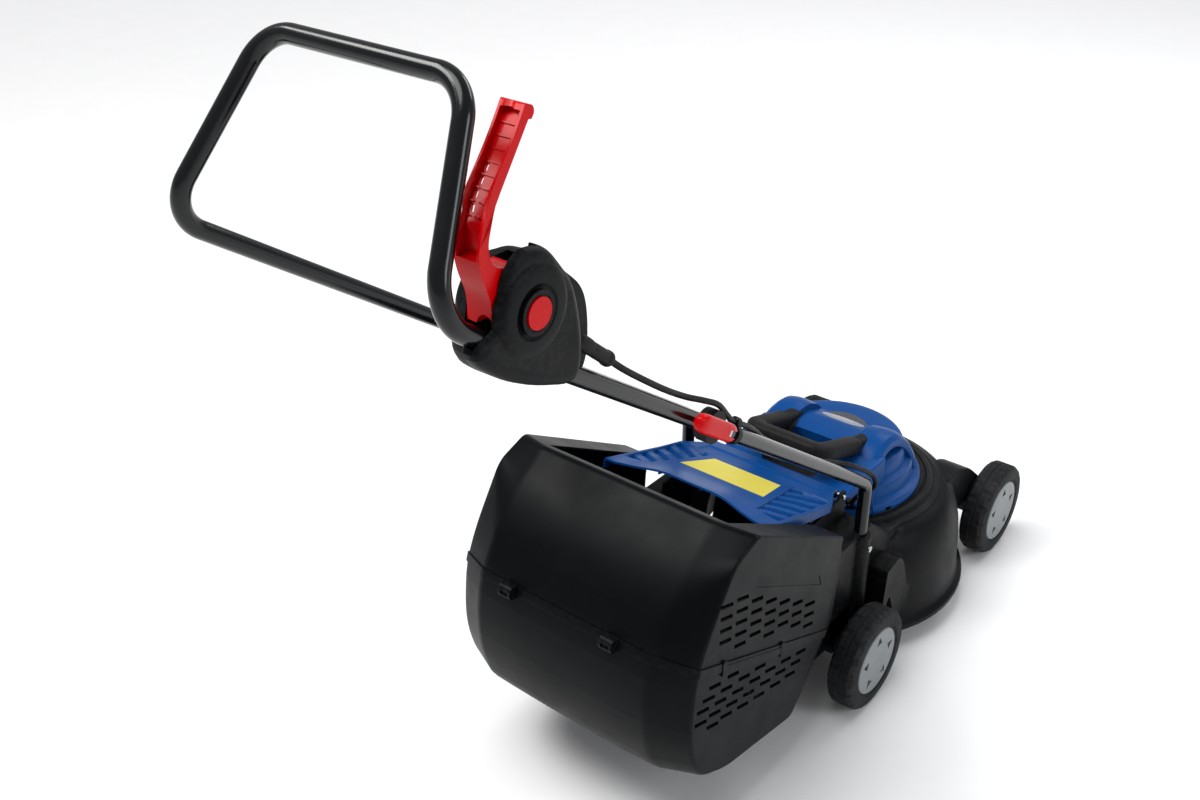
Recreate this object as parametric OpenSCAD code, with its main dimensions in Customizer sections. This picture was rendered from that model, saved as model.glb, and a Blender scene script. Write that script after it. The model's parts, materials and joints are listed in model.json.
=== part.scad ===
// Electric walk-behind lawn mower with a rear grass box and a folding handle.
// Millimetres. X is the machine's right, Y is forward, Z is up. The origin is on the
// ground under the middle of the whole machine. Shapes are drawn from the rear axle.

/* [Wheels] */
// Diameter of each wheel
wheel_d = 140; // [130:1:150]
// Width of each wheel
wheel_w = 37; // [30:1:38]
// Diameter of the snap-in hub caps
hub_cap_d = 94; // [84:1:100]
// Distance between the axles
wheelbase = 420; // [418:1:424]
// Width over the rear wheels
rear_track = 398; // [396:1:404]
// Width over the front wheels
front_track = 356; // [354:1:362]
// Diameter of both axles
axle_d = 10; // [8:1:11]

/* [Deck] */
// Diameter of the flared lip
lip_d = 394; // [390:1:398]
// Height of the lip above the ground
lip_z = 32; // [26:1:36]
// Wall thickness of the moulded deck
deck_wall = 3.5; // [3:0.5:4]
// Half width of the rear block
block_half_w = 140; // [138:1:142]

/* [Cutter] */
// Cutting width
blade_l = 320; // [280:5:330]
// Height of the blade above the ground
blade_z = 50; // [44:1:56]

/* [Handle] */
// Outer diameter of every handle tube
tube_d = 17; // [16:0.5:17]
// Wall thickness of every handle tube
tube_wall = 1.5; // [1.2:0.1:2]
// Sideways place of each handle post
post_x = 135.6; // [135:0.1:136]
// Height of the elbow of each lower tube
elbow_z = 299; // [297:1:301]
// Length along the arm from elbow to fold joint
fold_s = 454; // [450:1:458]
// Length along the arm from elbow to the handle's lower corner
arm_s = 898; // [894:1:902]
// Radius of the big bends of the loop
loop_bend = 39; // [36:1:42]

/* [Grass box] */
// Half width of the box over its side walls
box_half_w = 166; // [165:1:168]
// Wall thickness of the box shells
box_wall = 2.6; // [2.2:0.2:3]
// Half width of the open mouth
mouth_half_w = 126; // [125:1:128]

/* [Motor cover] */
// Radius of the cover's round base
cover_r = 119; // [117:1:121]
// Height of the cover's crown
cover_top_z = 264; // [262:1:266]
// Wall thickness of the cover
cover_wall = 2.5; // [2:0.5:3]

/* [Hidden] */
$fn = 64;

rear_axle_y = 100.2;
wheel_r = wheel_d / 2;
tube_r = tube_d / 2;
bore_r = tube_r - tube_wall;
run_fit = 0.06;
eps = 0.01;

black = [0.10, 0.10, 0.11];
dark_grey = [0.20, 0.20, 0.21];
blue = [0.02, 0.16, 0.62];
red = [0.85, 0.02, 0.04];
silver = [0.62, 0.64, 0.66];
steel = [0.55, 0.56, 0.58];
yellow = [0.93, 0.82, 0.10];

// Everything is drawn with Y counted from the rear axle.
module from_axle() { translate([0, rear_axle_y, 0]) children(); }
module both_sides() { children(); mirror([1, 0, 0]) children(); }
module on_side(s) { if (s > 0) children(); else mirror([1, 0, 0]) children(); }

// Bar of round section between two points.
module rod(from, to, r) {
    d = to - from;
    translate(from)
        rotate([0, acos(d[2] / norm(d)), atan2(d[1], d[0])])
            cylinder(h = norm(d), r = r);
}

// Cylinder along X between two places.
module x_rod(x0, x1, y, z, r) { translate([x0, y, z]) rotate([0, 90, 0]) cylinder(h = x1 - x0, r = r); }

// Side outline in Y and Z, pushed out along X between two places.
module side_plate(x0, x1) {
    translate([x0, 0, 0])
        multmatrix([[0, 0, 1, 0], [1, 0, 0, 0], [0, 1, 0, 0], [0, 0, 0, 1]])
            linear_extrude(height = x1 - x0) children();
}

function unit(v) = v / norm(v);
function tangent_len(a, b, r) = r * tan(acos(a * b) / 2);

// Points round one bend at corner c, from direction a to direction b.
bend_steps = 6;
function bend_points(c, a, b, bend_r) = let (
    turn = acos(a * b),
    centre = c + unit(b - a) * bend_r / cos(turn / 2),
    e1 = unit(c - a * tangent_len(a, b, bend_r) - centre))
    [for (k = [0:bend_steps]) let (t = turn * k / bend_steps) centre + bend_r * (e1 * cos(t) + a * sin(t))];
function bent_path(pts, bend_r) = let (
    n = len(pts), dirs = [for (i = [0:n - 2]) unit(pts[i + 1] - pts[i])])
    concat(
        [pts[0]],
        [for (i = [1:n - 2]) each bend_points(pts[i], dirs[i - 1], dirs[i], bend_r)],
        [pts[n - 1]]);

// Round tube along corner points, with one bend radius. An inner radius of 0 makes a solid bar.
tube_sides = 24;
module bent_tube(pts, bend_r, r = tube_r, r_in = bore_r, ref = slanting) {
    path = bent_path(pts, bend_r);
    n = len(path);
    longer = concat([2 * path[0] - path[1]], [for (i = [1:n - 2]) path[i]], [2 * path[n - 1] - path[n - 2]]);
    difference() {
        swept_cord(path, r, tube_sides, ref);
        if (r_in > 0) swept_cord(longer, r_in, tube_sides, ref);
    }
}

// Closed tube swept along route points, with a ring at each point. No part of a route may
// run along `ref`, which sets where the rings start.
upright = [0.1, 0, 1];
slanting = [1, -0.82, 0.53];
function ring_frame(d, ref) = let (side = unit(cross(d, ref))) [side, cross(d, side)];
function ring(p, d, r, sides, ref) = let (f = ring_frame(d, ref))
    [for (k = [0:sides - 1]) p + r * (cos(360 * k / sides) * f[0] + sin(360 * k / sides) * f[1])];
module swept_cord(route, r, sides, ref = upright) {
    n = len(route);
    dirs = [for (i = [0:n - 1]) unit(route[min(i + 1, n - 1)] - route[max(i - 1, 0)])];
    points = [for (i = [0:n - 1]) each ring(route[i], dirs[i], r, sides, ref)];
    walls = [for (i = [0:n - 2]) for (k = [0:sides - 1]) for (t = [0, 1])
        t == 0
            ? [i * sides + k, (i + 1) * sides + (k + 1) % sides, i * sides + (k + 1) % sides]
            : [i * sides + k, (i + 1) * sides + k, (i + 1) * sides + (k + 1) % sides]];
    start_cap = [for (k = [0:sides - 1]) k];
    end_cap = [for (k = [0:sides - 1]) (n - 1) * sides + sides - 1 - k];
    polyhedron(points = points, faces = concat([start_cap], walls, [end_cap]));
}

// Points of a smooth curve through the hand-set route points.
function curve_at(p, i, t) = let (
    n = len(p), a = p[max(i - 1, 0)], b = p[i], c = p[i + 1], d = p[min(i + 2, n - 1)])
    0.5 * (2 * b + (c - a) * t + (2 * a - 5 * b + 4 * c - d) * t * t + (3 * b - a - 3 * c + d) * t * t * t);
function smooth(p, per) = concat(
    [for (i = [0:len(p) - 2]) for (k = [0:per - 1]) curve_at(p, i, k / per)], [p[len(p) - 1]]);

// Places on the right-hand arm, by length from the elbow, height above it and outward offset.
elbow_y = 37.6;
arm_rise = 0.576;
arm_run = 0.817;
arm_splay = 0.018;
function arm(s, up = 0, out = 0) = [
    post_x + arm_splay * s + out,
    elbow_y - arm_run * s + arm_rise * up,
    elbow_z + arm_rise * s + arm_run * up,
];
arm_angle = atan2(arm_rise, arm_run);
fold = arm(fold_s);

// Frame with its origin on the fold joint, Y up along the arm and Z square to it.
module at_fold() {
    translate(fold) rotate([-arm_angle, 0, 0]) mirror([0, 1, 0]) children();
}

// ---------------------------------------------------------------- wheels
cap_seat = 5.5;
nut_room = 11.5;
module wheel(s, track, y) {
    centre = track / 2 - wheel_w / 2;
    color(black) from_axle() on_side(s)
        translate([centre, y, wheel_r]) rotate([0, 90, 0]) difference() {
            rotate_extrude()
                polygon([
                    [0, -wheel_w / 2], [wheel_r - 7, -wheel_w / 2], [wheel_r - 2, -wheel_w / 2 + 3],
                    [wheel_r, -wheel_w / 2 + 6], [wheel_r, -2], [wheel_r - 2, -1], [wheel_r - 2, 1],
                    [wheel_r, 2], [wheel_r, wheel_w / 2 - 6], [wheel_r - 2, wheel_w / 2 - 3],
                    [wheel_r - 7, wheel_w / 2], [0, wheel_w / 2],
                ]);
            translate([0, 0, wheel_w / 2 - cap_seat]) cylinder(h = cap_seat + 1, d = hub_cap_d + 0.6);
            translate([0, 0, wheel_w / 2 - nut_room]) cylinder(h = nut_room, r = 26);
            translate([0, 0, -wheel_w / 2 - 1]) difference() {
                cylinder(h = wheel_w / 2 - 2, r = wheel_r - 13);
                cylinder(h = wheel_w / 2 - 2, r = 14);
            }
            cylinder(h = wheel_w + 2, r = axle_d / 2 + run_fit, center = true);
        }
}
module hub_cap(s, track, y) {
    color(silver) from_axle() on_side(s)
        translate([track / 2 - cap_seat, y, wheel_r]) rotate([0, 90, 0]) difference() {
            cylinder(h = cap_seat - 0.5, d = hub_cap_d);
            translate([0, 0, -1]) cylinder(h = 3, r = 22);
            for (k = [0:4]) rotate([0, 0, 72 * k + 36]) translate([34, 0, 3])
                linear_extrude(height = 4) polygon([[6, 0], [-5, 6], [-5, -6]]);
        }
}
module rear_wheel_right() { wheel(1, rear_track, 0); }
module rear_wheel_left() { wheel(-1, rear_track, 0); }
module front_wheel_right() { wheel(1, front_track, wheelbase); }
module front_wheel_left() { wheel(-1, front_track, wheelbase); }
module rear_hub_cap_right() { hub_cap(1, rear_track, 0); }
module rear_hub_cap_left() { hub_cap(-1, rear_track, 0); }
module front_hub_cap_right() { hub_cap(1, front_track, wheelbase); }
module front_hub_cap_left() { hub_cap(-1, front_track, wheelbase); }

function axle_half(track) = track / 2 - nut_room + 5;
module rear_axle() {
    color(steel) from_axle() x_rod(-axle_half(rear_track), axle_half(rear_track), 0, wheel_r, axle_d / 2);
}
module front_axle() {
    color(steel) from_axle()
        x_rod(-axle_half(front_track), axle_half(front_track), wheelbase, wheel_r, axle_d / 2);
}
module axle_caps() {
    color(steel) from_axle() both_sides() for (w = [[rear_track, 0], [front_track, wheelbase]]) {
        face = w[0] / 2 - nut_room + 0.4;
        difference() {
            x_rod(face, face + 4, w[1], wheel_r, 9);
            x_rod(face - 1, face + 5, w[1], wheel_r, axle_d / 2);
        }
    }
}

// ---------------------------------------------------------------- deck
deck_y = 210;
lip_r = lip_d / 2;
chute_half_w = 104;
rear_face = [[-66, 262], [-84, 160], [-149, 72]];
socket_z = 223;
bracket_x0 = 96;
bracket_x1 = front_track / 2 - wheel_w - 3;
hinge_y = 44;
hinge_z = 262;

module deck_bowl(inset) {
    translate([0, deck_y, 0]) rotate_extrude($fn = 96)
        polygon([
            [0, lip_z - (inset > 0 ? 1 : 0)],
            [lip_r - inset * 2.6, lip_z - (inset > 0 ? 1 : 0)],
            [lip_r - inset * 2.6, lip_z + 6 - inset],
            [188 - inset, lip_z + 12],
            [182 - inset, 120],
            [174 - inset, 152],
            [164 - inset * 0.8, 168 - inset],
            [150, 174 - inset],
            [140, 176 - inset],
            [137, 184 - inset],
            [0, 188 - inset],
        ]);
}
module rear_block(inset) {
    half_w = block_half_w - inset;
    side_plate(-half_w, half_w)
        polygon([
            [rear_face[1][0] - 26, 228 - inset], [60, 228 - inset], [120, 180 - inset], [160, 178 - inset],
            [160, inset > 0 ? 84 : 70], [20, inset > 0 ? 84 : 70], [rear_face[2][0] - 2, 84],
            [rear_face[1][0] - 4, 160],
        ]);
}
module gusset() {
    side_plate(block_half_w - 6, 168)
        polygon([[64, 176], [96, 182], [112, 170], [150, 60], [146, 46], [112, 46], [84, 110], [72, 160]]);
}
module front_bracket() {
    side_plate(bracket_x0, bracket_x1)
        polygon([
            [290, 150], [300, 168], [338, 168], [430, 104], [wheelbase + 20, 84], [wheelbase + 20, 58],
            [wheelbase - 4, 52], [wheelbase - 24, 60], [wheelbase - 40, 96], [330, 96],
        ]);
}
module deck() {
    color(black) from_axle() difference() {
        union() {
            deck_bowl(0);
            intersection() {
                rear_block(0);
                side_plate(-200, 200) polygon(concat(rear_face, [[-149, 60], [220, 60], [220, 262]]));
            }
            both_sides() {
                // rear side flange that the grass box meets
                side_plate(block_half_w - 4, 160)
                    polygon(concat(rear_face, [[-134, 72], [-66, 160], [-58, 228], [-56, 262]]));
                translate([post_x, elbow_y, 104]) cylinder(h = socket_z - 104, r = 14.5);
                gusset();
                front_bracket();
                x_rod(block_half_w - 20, rear_track / 2 - wheel_w - 1, 0, wheel_r, 13);
                side_plate(block_half_w - 20, block_half_w)
                    polygon([[-30, 120], [30, 120], [14, 60], [-14, 60]]);
                // raised chute walls that carry the flap hinge
                side_plate(chute_half_w - 5, chute_half_w)
                    polygon([[-70, 220], [-64, 254], [34, 262], [38, 268], [50, 268], [51, 220]]);
            }
        }
        deck_bowl(deck_wall);
        rear_block(deck_wall);
        // open rear and open chute roof between the hinge lugs
        side_plate(-chute_half_w + 5, chute_half_w - 5)
            polygon([[-200, 88], [46, 88], [46, 300], [-200, 300]]);
        x_rod(-rear_track / 2, rear_track / 2, 0, wheel_r, axle_d / 2);
        x_rod(-front_track / 2, front_track / 2, wheelbase, wheel_r, axle_d / 2);
        x_rod(-chute_half_w - 1, chute_half_w + 1, hinge_y, hinge_z, 3);
        both_sides() {
            translate([post_x, elbow_y, 118]) cylinder(h = 200, r = tube_r + 0.05);
            x_rod(post_x, 160, elbow_y, 205, 2.1);
        }
        translate([0, deck_y, 150]) cylinder(h = 60, r = 26);
        for (k = [0:3]) rotate_about(0, deck_y, 45 + 90 * k) translate([52, 0, 150]) cylinder(h = 60, r = 2.6);
        for (k = [0:3]) rotate_about(0, cover_y, 45 + 90 * k) translate([103, 0, 150]) cylinder(h = 60, r = 2.1);
    }
}
module rotate_about(x, y, angle) { translate([x, y, 0]) rotate([0, 0, angle]) children(); }

// ---------------------------------------------------------------- motor and cutter
motor_z0 = 188.6;
motor_z1 = 250;
shaft_r = 6;
module motor_can() {
    color(steel) from_axle() translate([0, deck_y, 0]) difference() {
        union() {
            translate([0, 0, motor_z0]) cylinder(h = 5, r = 62);
            translate([0, 0, motor_z0]) cylinder(h = motor_z1 - motor_z0, r = 42);
        }
        translate([0, 0, motor_z0 + 6]) cylinder(h = motor_z1 - motor_z0 - 10, r = 39);
        translate([0, 0, 100]) cylinder(h = 200, r = shaft_r + run_fit);
        for (k = [0:3]) rotate([0, 0, 45 + 90 * k]) translate([52, 0, 150]) cylinder(h = 60, r = 2.6);
    }
}
module motor_screws() {
    color(steel) from_axle() for (k = [0:3]) rotate_about(0, deck_y, 45 + 90 * k) translate([52, 0, 0]) {
        translate([0, 0, 172]) cylinder(h = motor_z0 + 5 - 172, r = 2.6);
        translate([0, 0, motor_z0 + 5]) cylinder(h = 3.5, r = 5);
    }
}
module armature() {
    color(steel) from_axle() translate([0, deck_y, motor_z0 + 10]) difference() {
        cylinder(h = 40, r = 34);
        for (k = [0:11]) rotate([0, 0, 30 * k]) translate([30, 0, -1]) cylinder(h = 42, r = 2.4);
        translate([0, 0, -1]) cylinder(h = 42, r = shaft_r);
    }
}
module motor_shaft() {
    color(steel) from_axle() translate([0, deck_y, 46]) difference() {
        cylinder(h = motor_z1 + 3 - 46, r = shaft_r);
        translate([0, 0, -1]) cylinder(h = 24, r = 3);
    }
}
module cooling_fan() {
    color(dark_grey) from_axle() translate([0, deck_y, 0]) difference() {
        union() {
            translate([0, 0, 140]) cylinder(h = 3, r = 62);
            translate([0, 0, 128]) cylinder(h = 22, r = 14);
            for (k = [0:7]) rotate([0, 0, 45 * k]) translate([13, -1.2, 142]) cube([48, 2.4, 18]);
        }
        translate([0, 0, 100]) cylinder(h = 80, r = shaft_r);
    }
}
module blade_holder() {
    color(dark_grey) from_axle() translate([0, deck_y, 0]) difference() {
        union() {
            translate([0, 0, blade_z + 4]) cylinder(h = 8, r = 26);
            translate([0, 0, blade_z + 4]) cylinder(h = 40, r = 13);
        }
        translate([0, 0, blade_z - 10]) cylinder(h = 80, r = shaft_r);
    }
}
module cutting_blade() {
    half = blade_l / 2;
    color(steel) from_axle() translate([0, deck_y, blade_z]) difference() {
        linear_extrude(height = 3.6) polygon([
            [-half, -23], [-40, -23], [40, -23], [half - 8, -23], [half, -14],
            [half, 23], [40, 23], [-40, 23], [-half + 8, 23], [-half, 14],
        ]);
        translate([0, 0, -1]) cylinder(h = 6, r = shaft_r);
        for (s = [-1, 1]) translate([s * 18, 0, -1]) cylinder(h = 6, r = 3);
        // ground cutting edges
        translate([70, -23, 3.6]) rotate([40, 0, 0]) translate([0, -4, 0]) cube([100, 8, 8]);
        rotate([0, 0, 180]) translate([70, -23, 3.6]) rotate([40, 0, 0]) translate([0, -4, 0]) cube([100, 8, 8]);
    }
}
module blade_bolt() {
    color(steel) from_axle() translate([0, deck_y, 0]) {
        translate([0, 0, 46]) cylinder(h = 20, r = 3);
        translate([0, 0, blade_z - 6.5]) cylinder(h = 2.5, r = 16);
        translate([0, 0, blade_z - 14]) cylinder(h = 7.5, r = 10, $fn = 6);
    }
}

// ---------------------------------------------------------------- motor cover
cover_y = 200;
cover_z0 = 188.4;
handle_z = 303;
handle_y = 56;
module cover_dome(inset) {
    r = cover_r - inset;
    top = cover_top_z - inset;
    translate([0, cover_y, 0]) rotate_extrude()
        polygon([
            [0, cover_z0 - (inset > 0 ? 1 : 0)], [r, cover_z0 - (inset > 0 ? 1 : 0)], [r, 200],
            [r - 8, 216], [r - 18, 230], [r - 32, 246], [r - 56, top - 6], [r - 84, top], [0, top],
        ]);
}
module cover_rear(inset) {
    half_w = 98 - inset;
    side_plate(-half_w, half_w)
        polygon([
            [52 + inset, cover_z0 + 41.6 - (inset > 0 ? 1 : 0)], [52 + inset, 244 - inset], [62 + inset, 252 - inset],
            [140, 258 - inset], [180, 258 - inset], [180, cover_z0 - (inset > 0 ? 1 : 0)],
            [124, cover_z0 - (inset > 0 ? 1 : 0)], [76, 230 - (inset > 0 ? 1 : 0)],
        ]);
}
module motor_cover() {
    color(blue) from_axle() difference() {
        union() {
            difference() {
                union() {
                    cover_dome(0);
                    cover_rear(0);
                }
                cover_dome(cover_wall);
                cover_rear(cover_wall);
            }
            // inner flange for the screws
            translate([0, cover_y, cover_z0]) difference() {
                cylinder(h = 4, r = cover_r - 1);
                translate([0, 0, -1]) cylinder(h = 6, r = 92);
            }
        }
        translate([0, cover_y + 24, cover_top_z - 2]) cylinder(h = 4, r = 22);
        both_sides() x_rod(90, 110, 68, 240, 4.6);
        // room for the sloping rear block of the deck
        side_plate(-block_half_w - 1, block_half_w + 1)
            polygon([[40, 170], [40, 229.5], [61, 229.5], [121, 181.5], [126, 170]]);
        for (k = [0:3]) rotate_about(0, cover_y, 45 + 90 * k) translate([103, 0, 180]) cylinder(h = 60, r = 2.1);
    }
}
module carry_handle() {
    color(dark_grey) from_axle() difference() {
        bent_tube([[-56, 176, 266.2], [-48, handle_y, handle_z], [48, handle_y, handle_z], [56, 176, 266.2]], 14, 7.5, 0, upright);
        side_plate(-100, 100) polygon([[120, 230], [150, 258.2], [180, 264.2], [230, 264.2], [230, 200], [120, 200]]);
    }
}
module cover_inlay() {
    color(silver) from_axle() translate([0, cover_y + 24, cover_top_z - 1.9]) cylinder(h = 2.2, r = 21.6);
}
module cover_screws() {
    color(steel) from_axle() for (k = [0:3]) rotate_about(0, cover_y, 45 + 90 * k) translate([103, 0, 0]) {
        translate([0, 0, 177]) cylinder(h = 15.4, r = 2.1);
        translate([0, 0, 192.4]) cylinder(h = 2.4, r = 4);
    }
}

// ---------------------------------------------------------------- flap
flap_pitch = 18.3;
flap_half_w = 121;
flap_l = 222;
skirt = 12;
module at_hinge() { translate([0, hinge_y, hinge_z]) rotate([-flap_pitch, 0, 0]) children(); }
module flap_outline() {
    polygon([
        [-flap_half_w, -flap_l], [-78, -flap_l + 8], [-34, -flap_l + 15], [34, -flap_l + 15], [78, -flap_l + 8],
        [flap_half_w, -flap_l], [flap_half_w - 3, -58], [98, -20], [94, -2], [-94, -2], [-98, -20],
        [-flap_half_w + 3, -58],
    ]);
}
module rear_flap() {
    color(blue) from_axle() at_hinge() difference() {
        union() {
            translate([0, 0, 4]) linear_extrude(height = 3) flap_outline();
            both_sides() translate([0, 0, 7 - skirt]) linear_extrude(height = skirt)
                polygon([
                    [flap_half_w, -flap_l], [flap_half_w - 3, -58], [98, -20], [95, -21],
                    [flap_half_w - 6, -59], [flap_half_w - 3, -flap_l],
                ]);
            x_rod(-94, 94, 0, 0, 6);
            translate([-94, -6, 2]) cube([188, 8, 5]);
            for (x = [-60, 0, 60]) translate([x - 1, -flap_l + 30, -1]) cube([2, flap_l - 40, 6]);
        }
        x_rod(-100, 100, 0, 0, 3 + run_fit);
        for (x = [-46, 30]) translate([x, -7, -12]) cube([16, 14, 18]);
        translate([-100, 6.02, -10]) cube([200, 10, 20]);
    }
}
module flap_label() {
    color(yellow) from_axle() at_hinge() translate([0, 0, 7]) linear_extrude(height = 0.3)
        polygon([[-62, -139], [62, -139], [50, -74], [-50, -74]]);
}
module flap_hinge_pin() {
    color(steel) from_axle() x_rod(-chute_half_w - 2, chute_half_w + 2, hinge_y, hinge_z, 3);
}
spring_turns = 4;
module flap_spring() {
    steps = 10;
    color(steel) from_axle() for (x0 = [-44, 32])
        swept_cord([for (k = [0:spring_turns * steps]) [
            x0 + 2.6 * k / steps,
            hinge_y + 4.6 * cos(360 * k / steps),
            hinge_z + 4.6 * sin(360 * k / steps),
        ]], 0.8, 8);
}

// ---------------------------------------------------------------- grass box
seam_front = [-88, 160];
module box_side_outline() {
    polygon([[-66, 289], seam_front, [-156, 69], [-300, 96], [-355, 124], [-370, 200], [-360, 295], [-304, 386], [-260, 400]]);
}
module box_centre_outline() {
    polygon([[-66, 289], seam_front, [-156, 69], [-310, 96], [-378, 122], [-398, 180], [-400, 240], [-391, 295], [-345, 360], [-279, 408]]);
}
module box_form() {
    hull() {
        side_plate(-112, 112) box_centre_outline();
        side_plate(-box_half_w, box_half_w) box_side_outline();
    }
}
module box_space() {
    hull() {
        side_plate(-111, 111) offset(delta = -box_wall) box_centre_outline();
        side_plate(-box_half_w + box_wall, box_half_w - box_wall) offset(delta = -box_wall) box_side_outline();
    }
}
module below_seam(gap) {
    side_plate(-200, 200)
        polygon([[-60, 147.6 - gap], [-430, 311.5 - gap], [-430, 0], [-60, 0]]);
}
module box_mouth() {
    side_plate(-mouth_half_w, mouth_half_w)
        polygon([[-40, 108], [-132, 108], [-92, 160], [-74, 270], [-262, 379], [-262, 460], [-40, 460]]);
}
slot_l = 13;
slot_h = 4.2;
module vent_row(y_first, z, count, step) {
    for (k = [0:count - 1])
        side_plate(box_half_w - 8, box_half_w + 8) translate([y_first - step * k, z + 0.12 * step * k])
            polygon([[0, 0], [-slot_l, slot_h * 0.5], [-slot_l - 2, slot_h * 1.4], [-2, slot_h * 0.9]]);
}
module box_vents() {
    both_sides() {
        vent_row(-110, 232, 6, 19);
        vent_row(-108, 222, 7, 19);
        vent_row(-112, 212, 7, 19);
        vent_row(-110, 202, 6, 19);
        vent_row(-112, 192, 4, 19);
        vent_row(-120, 152, 7, 19);
        vent_row(-134, 142, 6, 19);
        vent_row(-142, 132, 6, 19);
        vent_row(-154, 122, 5, 19);
        vent_row(-160, 112, 4, 19);
    }
}
module box_shell() {
    difference() {
        box_form();
        box_space();
        box_mouth();
        box_vents();
    }
}
module box_upper_shell() {
    color(black) from_axle() difference() {
        box_shell();
        below_seam(0);
    }
}
module box_lower_shell() {
    color(black) from_axle() intersection() {
        box_shell();
        below_seam(0.02);
    }
}
module box_clips() {
    color(black) from_axle() {
        for (x = [-84, 60]) side_plate(x, x + 18)
            polygon([[-394.85, 272], [-397.8, 272], [-396.8, 300], [-388, 313], [-385.5, 311], [-391.1, 295.1]]);
        both_sides() side_plate(box_half_w, box_half_w + 2.6)
            polygon([[-246, 214], [-226, 206], [-226, 226], [-246, 246]]);
    }
}

// ---------------------------------------------------------------- handle
socket_floor = 120;
neck_l = 34;
plug_l = 24;
plug_r = bore_r * 0.98;
module lower_tube() {
    bent_tube([[post_x, elbow_y, socket_floor], [post_x, elbow_y, elbow_z], arm(fold_s - neck_l)], 22);
}
module lower_tube_right() {
    color(black) from_axle() lower_tube();
}
module lower_tube_left() {
    color(black) from_axle() mirror([1, 0, 0]) lower_tube();
}
module post_screws() {
    color(steel) from_axle() both_sides() {
        x_rod(post_x + tube_r + 0.1, post_x + 14, elbow_y, 205, 2.1);
        x_rod(post_x + 14.6, post_x + 17, elbow_y, 205, 4);
    }
}
disc_r = 17;
disc_t = 7;
// Half of the fold joint: a disc, a half-width neck and a plug inside the tube end.
module knuckle(dir) {
    side = dir > 0 ? 0.15 : -disc_t - 0.15;
    end = arm(fold_s + dir * neck_l);
    difference() {
        union() {
            at_fold() {
                translate([side, 0, 0]) rotate([0, 90, 0]) cylinder(h = disc_t, r = disc_r);
                translate([side, dir > 0 ? 0 : -neck_l + 2, -7.5]) cube([disc_t, neck_l - 2, 15]);
            }
            rod(arm(fold_s + dir * (neck_l - 4)), end, tube_r);
            rod(end, arm(fold_s + dir * (neck_l + plug_l)), plug_r);
        }
        at_fold() translate([-20, 0, 0]) rotate([0, 90, 0]) cylinder(h = 40, r = 3 + (dir > 0 ? run_fit : 0));
    }
}
module lower_knuckle_right() { color(black) from_axle() knuckle(-1); }
module lower_knuckle_left() { color(black) from_axle() mirror([1, 0, 0]) knuckle(-1); }
module upper_knuckle_right() { color(black) from_axle() knuckle(1); }
module upper_knuckle_left() { color(black) from_axle() mirror([1, 0, 0]) knuckle(1); }

cam_x = 19;
cam_r = 9.5;
module clamp_bolt() {
    at_fold() difference() {
        union() {
            translate([-disc_t - 0.15, 0, 0]) rotate([0, 90, 0]) cylinder(h = cam_x + disc_t - 3, r = 3);
            translate([-disc_t - 5.15, 0, 0]) rotate([0, 90, 0]) cylinder(h = 5, r = 6.5, $fn = 6);
            translate([cam_x, 0, -3.2]) cylinder(h = 6.4, r = 6);
        }
        translate([cam_x, 0, -4]) cylinder(h = 8, r = 2.5);
    }
}
module clamp_bolt_right() { color(steel) from_axle() clamp_bolt(); }
module clamp_bolt_left() { color(steel) from_axle() mirror([1, 0, 0]) clamp_bolt(); }
module cam_pins() {
    color(steel) from_axle() both_sides() at_fold() translate([cam_x, 0, -9]) cylinder(h = 18, r = 2.5);
}
lever_l = 62;
module cam_lever() {
    at_fold() difference() {
        union() {
            translate([cam_x, 0, -9.5]) cylinder(h = 19, r = cam_r);
            translate([cam_x - 5, 0, -9.5]) cube([13.5, lever_l - 6, 19]);
            translate([cam_x - 5, lever_l - 6, 0]) rotate([0, 90, 0]) cylinder(h = 13.5, r = 9.5);
        }
        translate([cam_x, 0, -12]) cylinder(h = 24, r = 2.5 + run_fit);
        translate([cam_x - 20, -20, -3.6]) cube([40, 27.5, 7.2]);
        translate([cam_x - 6, 12, -7]) cube([8, lever_l - 22, 14]);
    }
}
module cam_lever_right() { color(red) from_axle() cam_lever(); }
module cam_lever_left() { color(red) from_axle() mirror([1, 0, 0]) cam_lever(); }

corner_low = arm(arm_s);
corner_high = [109, -604.6, 956.3];
grip_half_l = 62;
grip_r = tube_r + 0.05;
module upper_handle() {
    start = arm(fold_s + neck_l);
    color(black) from_axle() {
        bent_tube([
            start, corner_low, corner_high,
            [-corner_high[0], corner_high[1], corner_high[2]],
            [-corner_low[0], corner_low[1], corner_low[2]],
            [-start[0], start[1], start[2]],
        ], loop_bend);
        difference() {
            x_rod(-grip_half_l, grip_half_l, corner_high[1], corner_high[2], grip_r);
            x_rod(-grip_half_l - 1, grip_half_l + 1, corner_high[1], corner_high[2], bore_r - 0.1);
        }
    }
}

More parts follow.
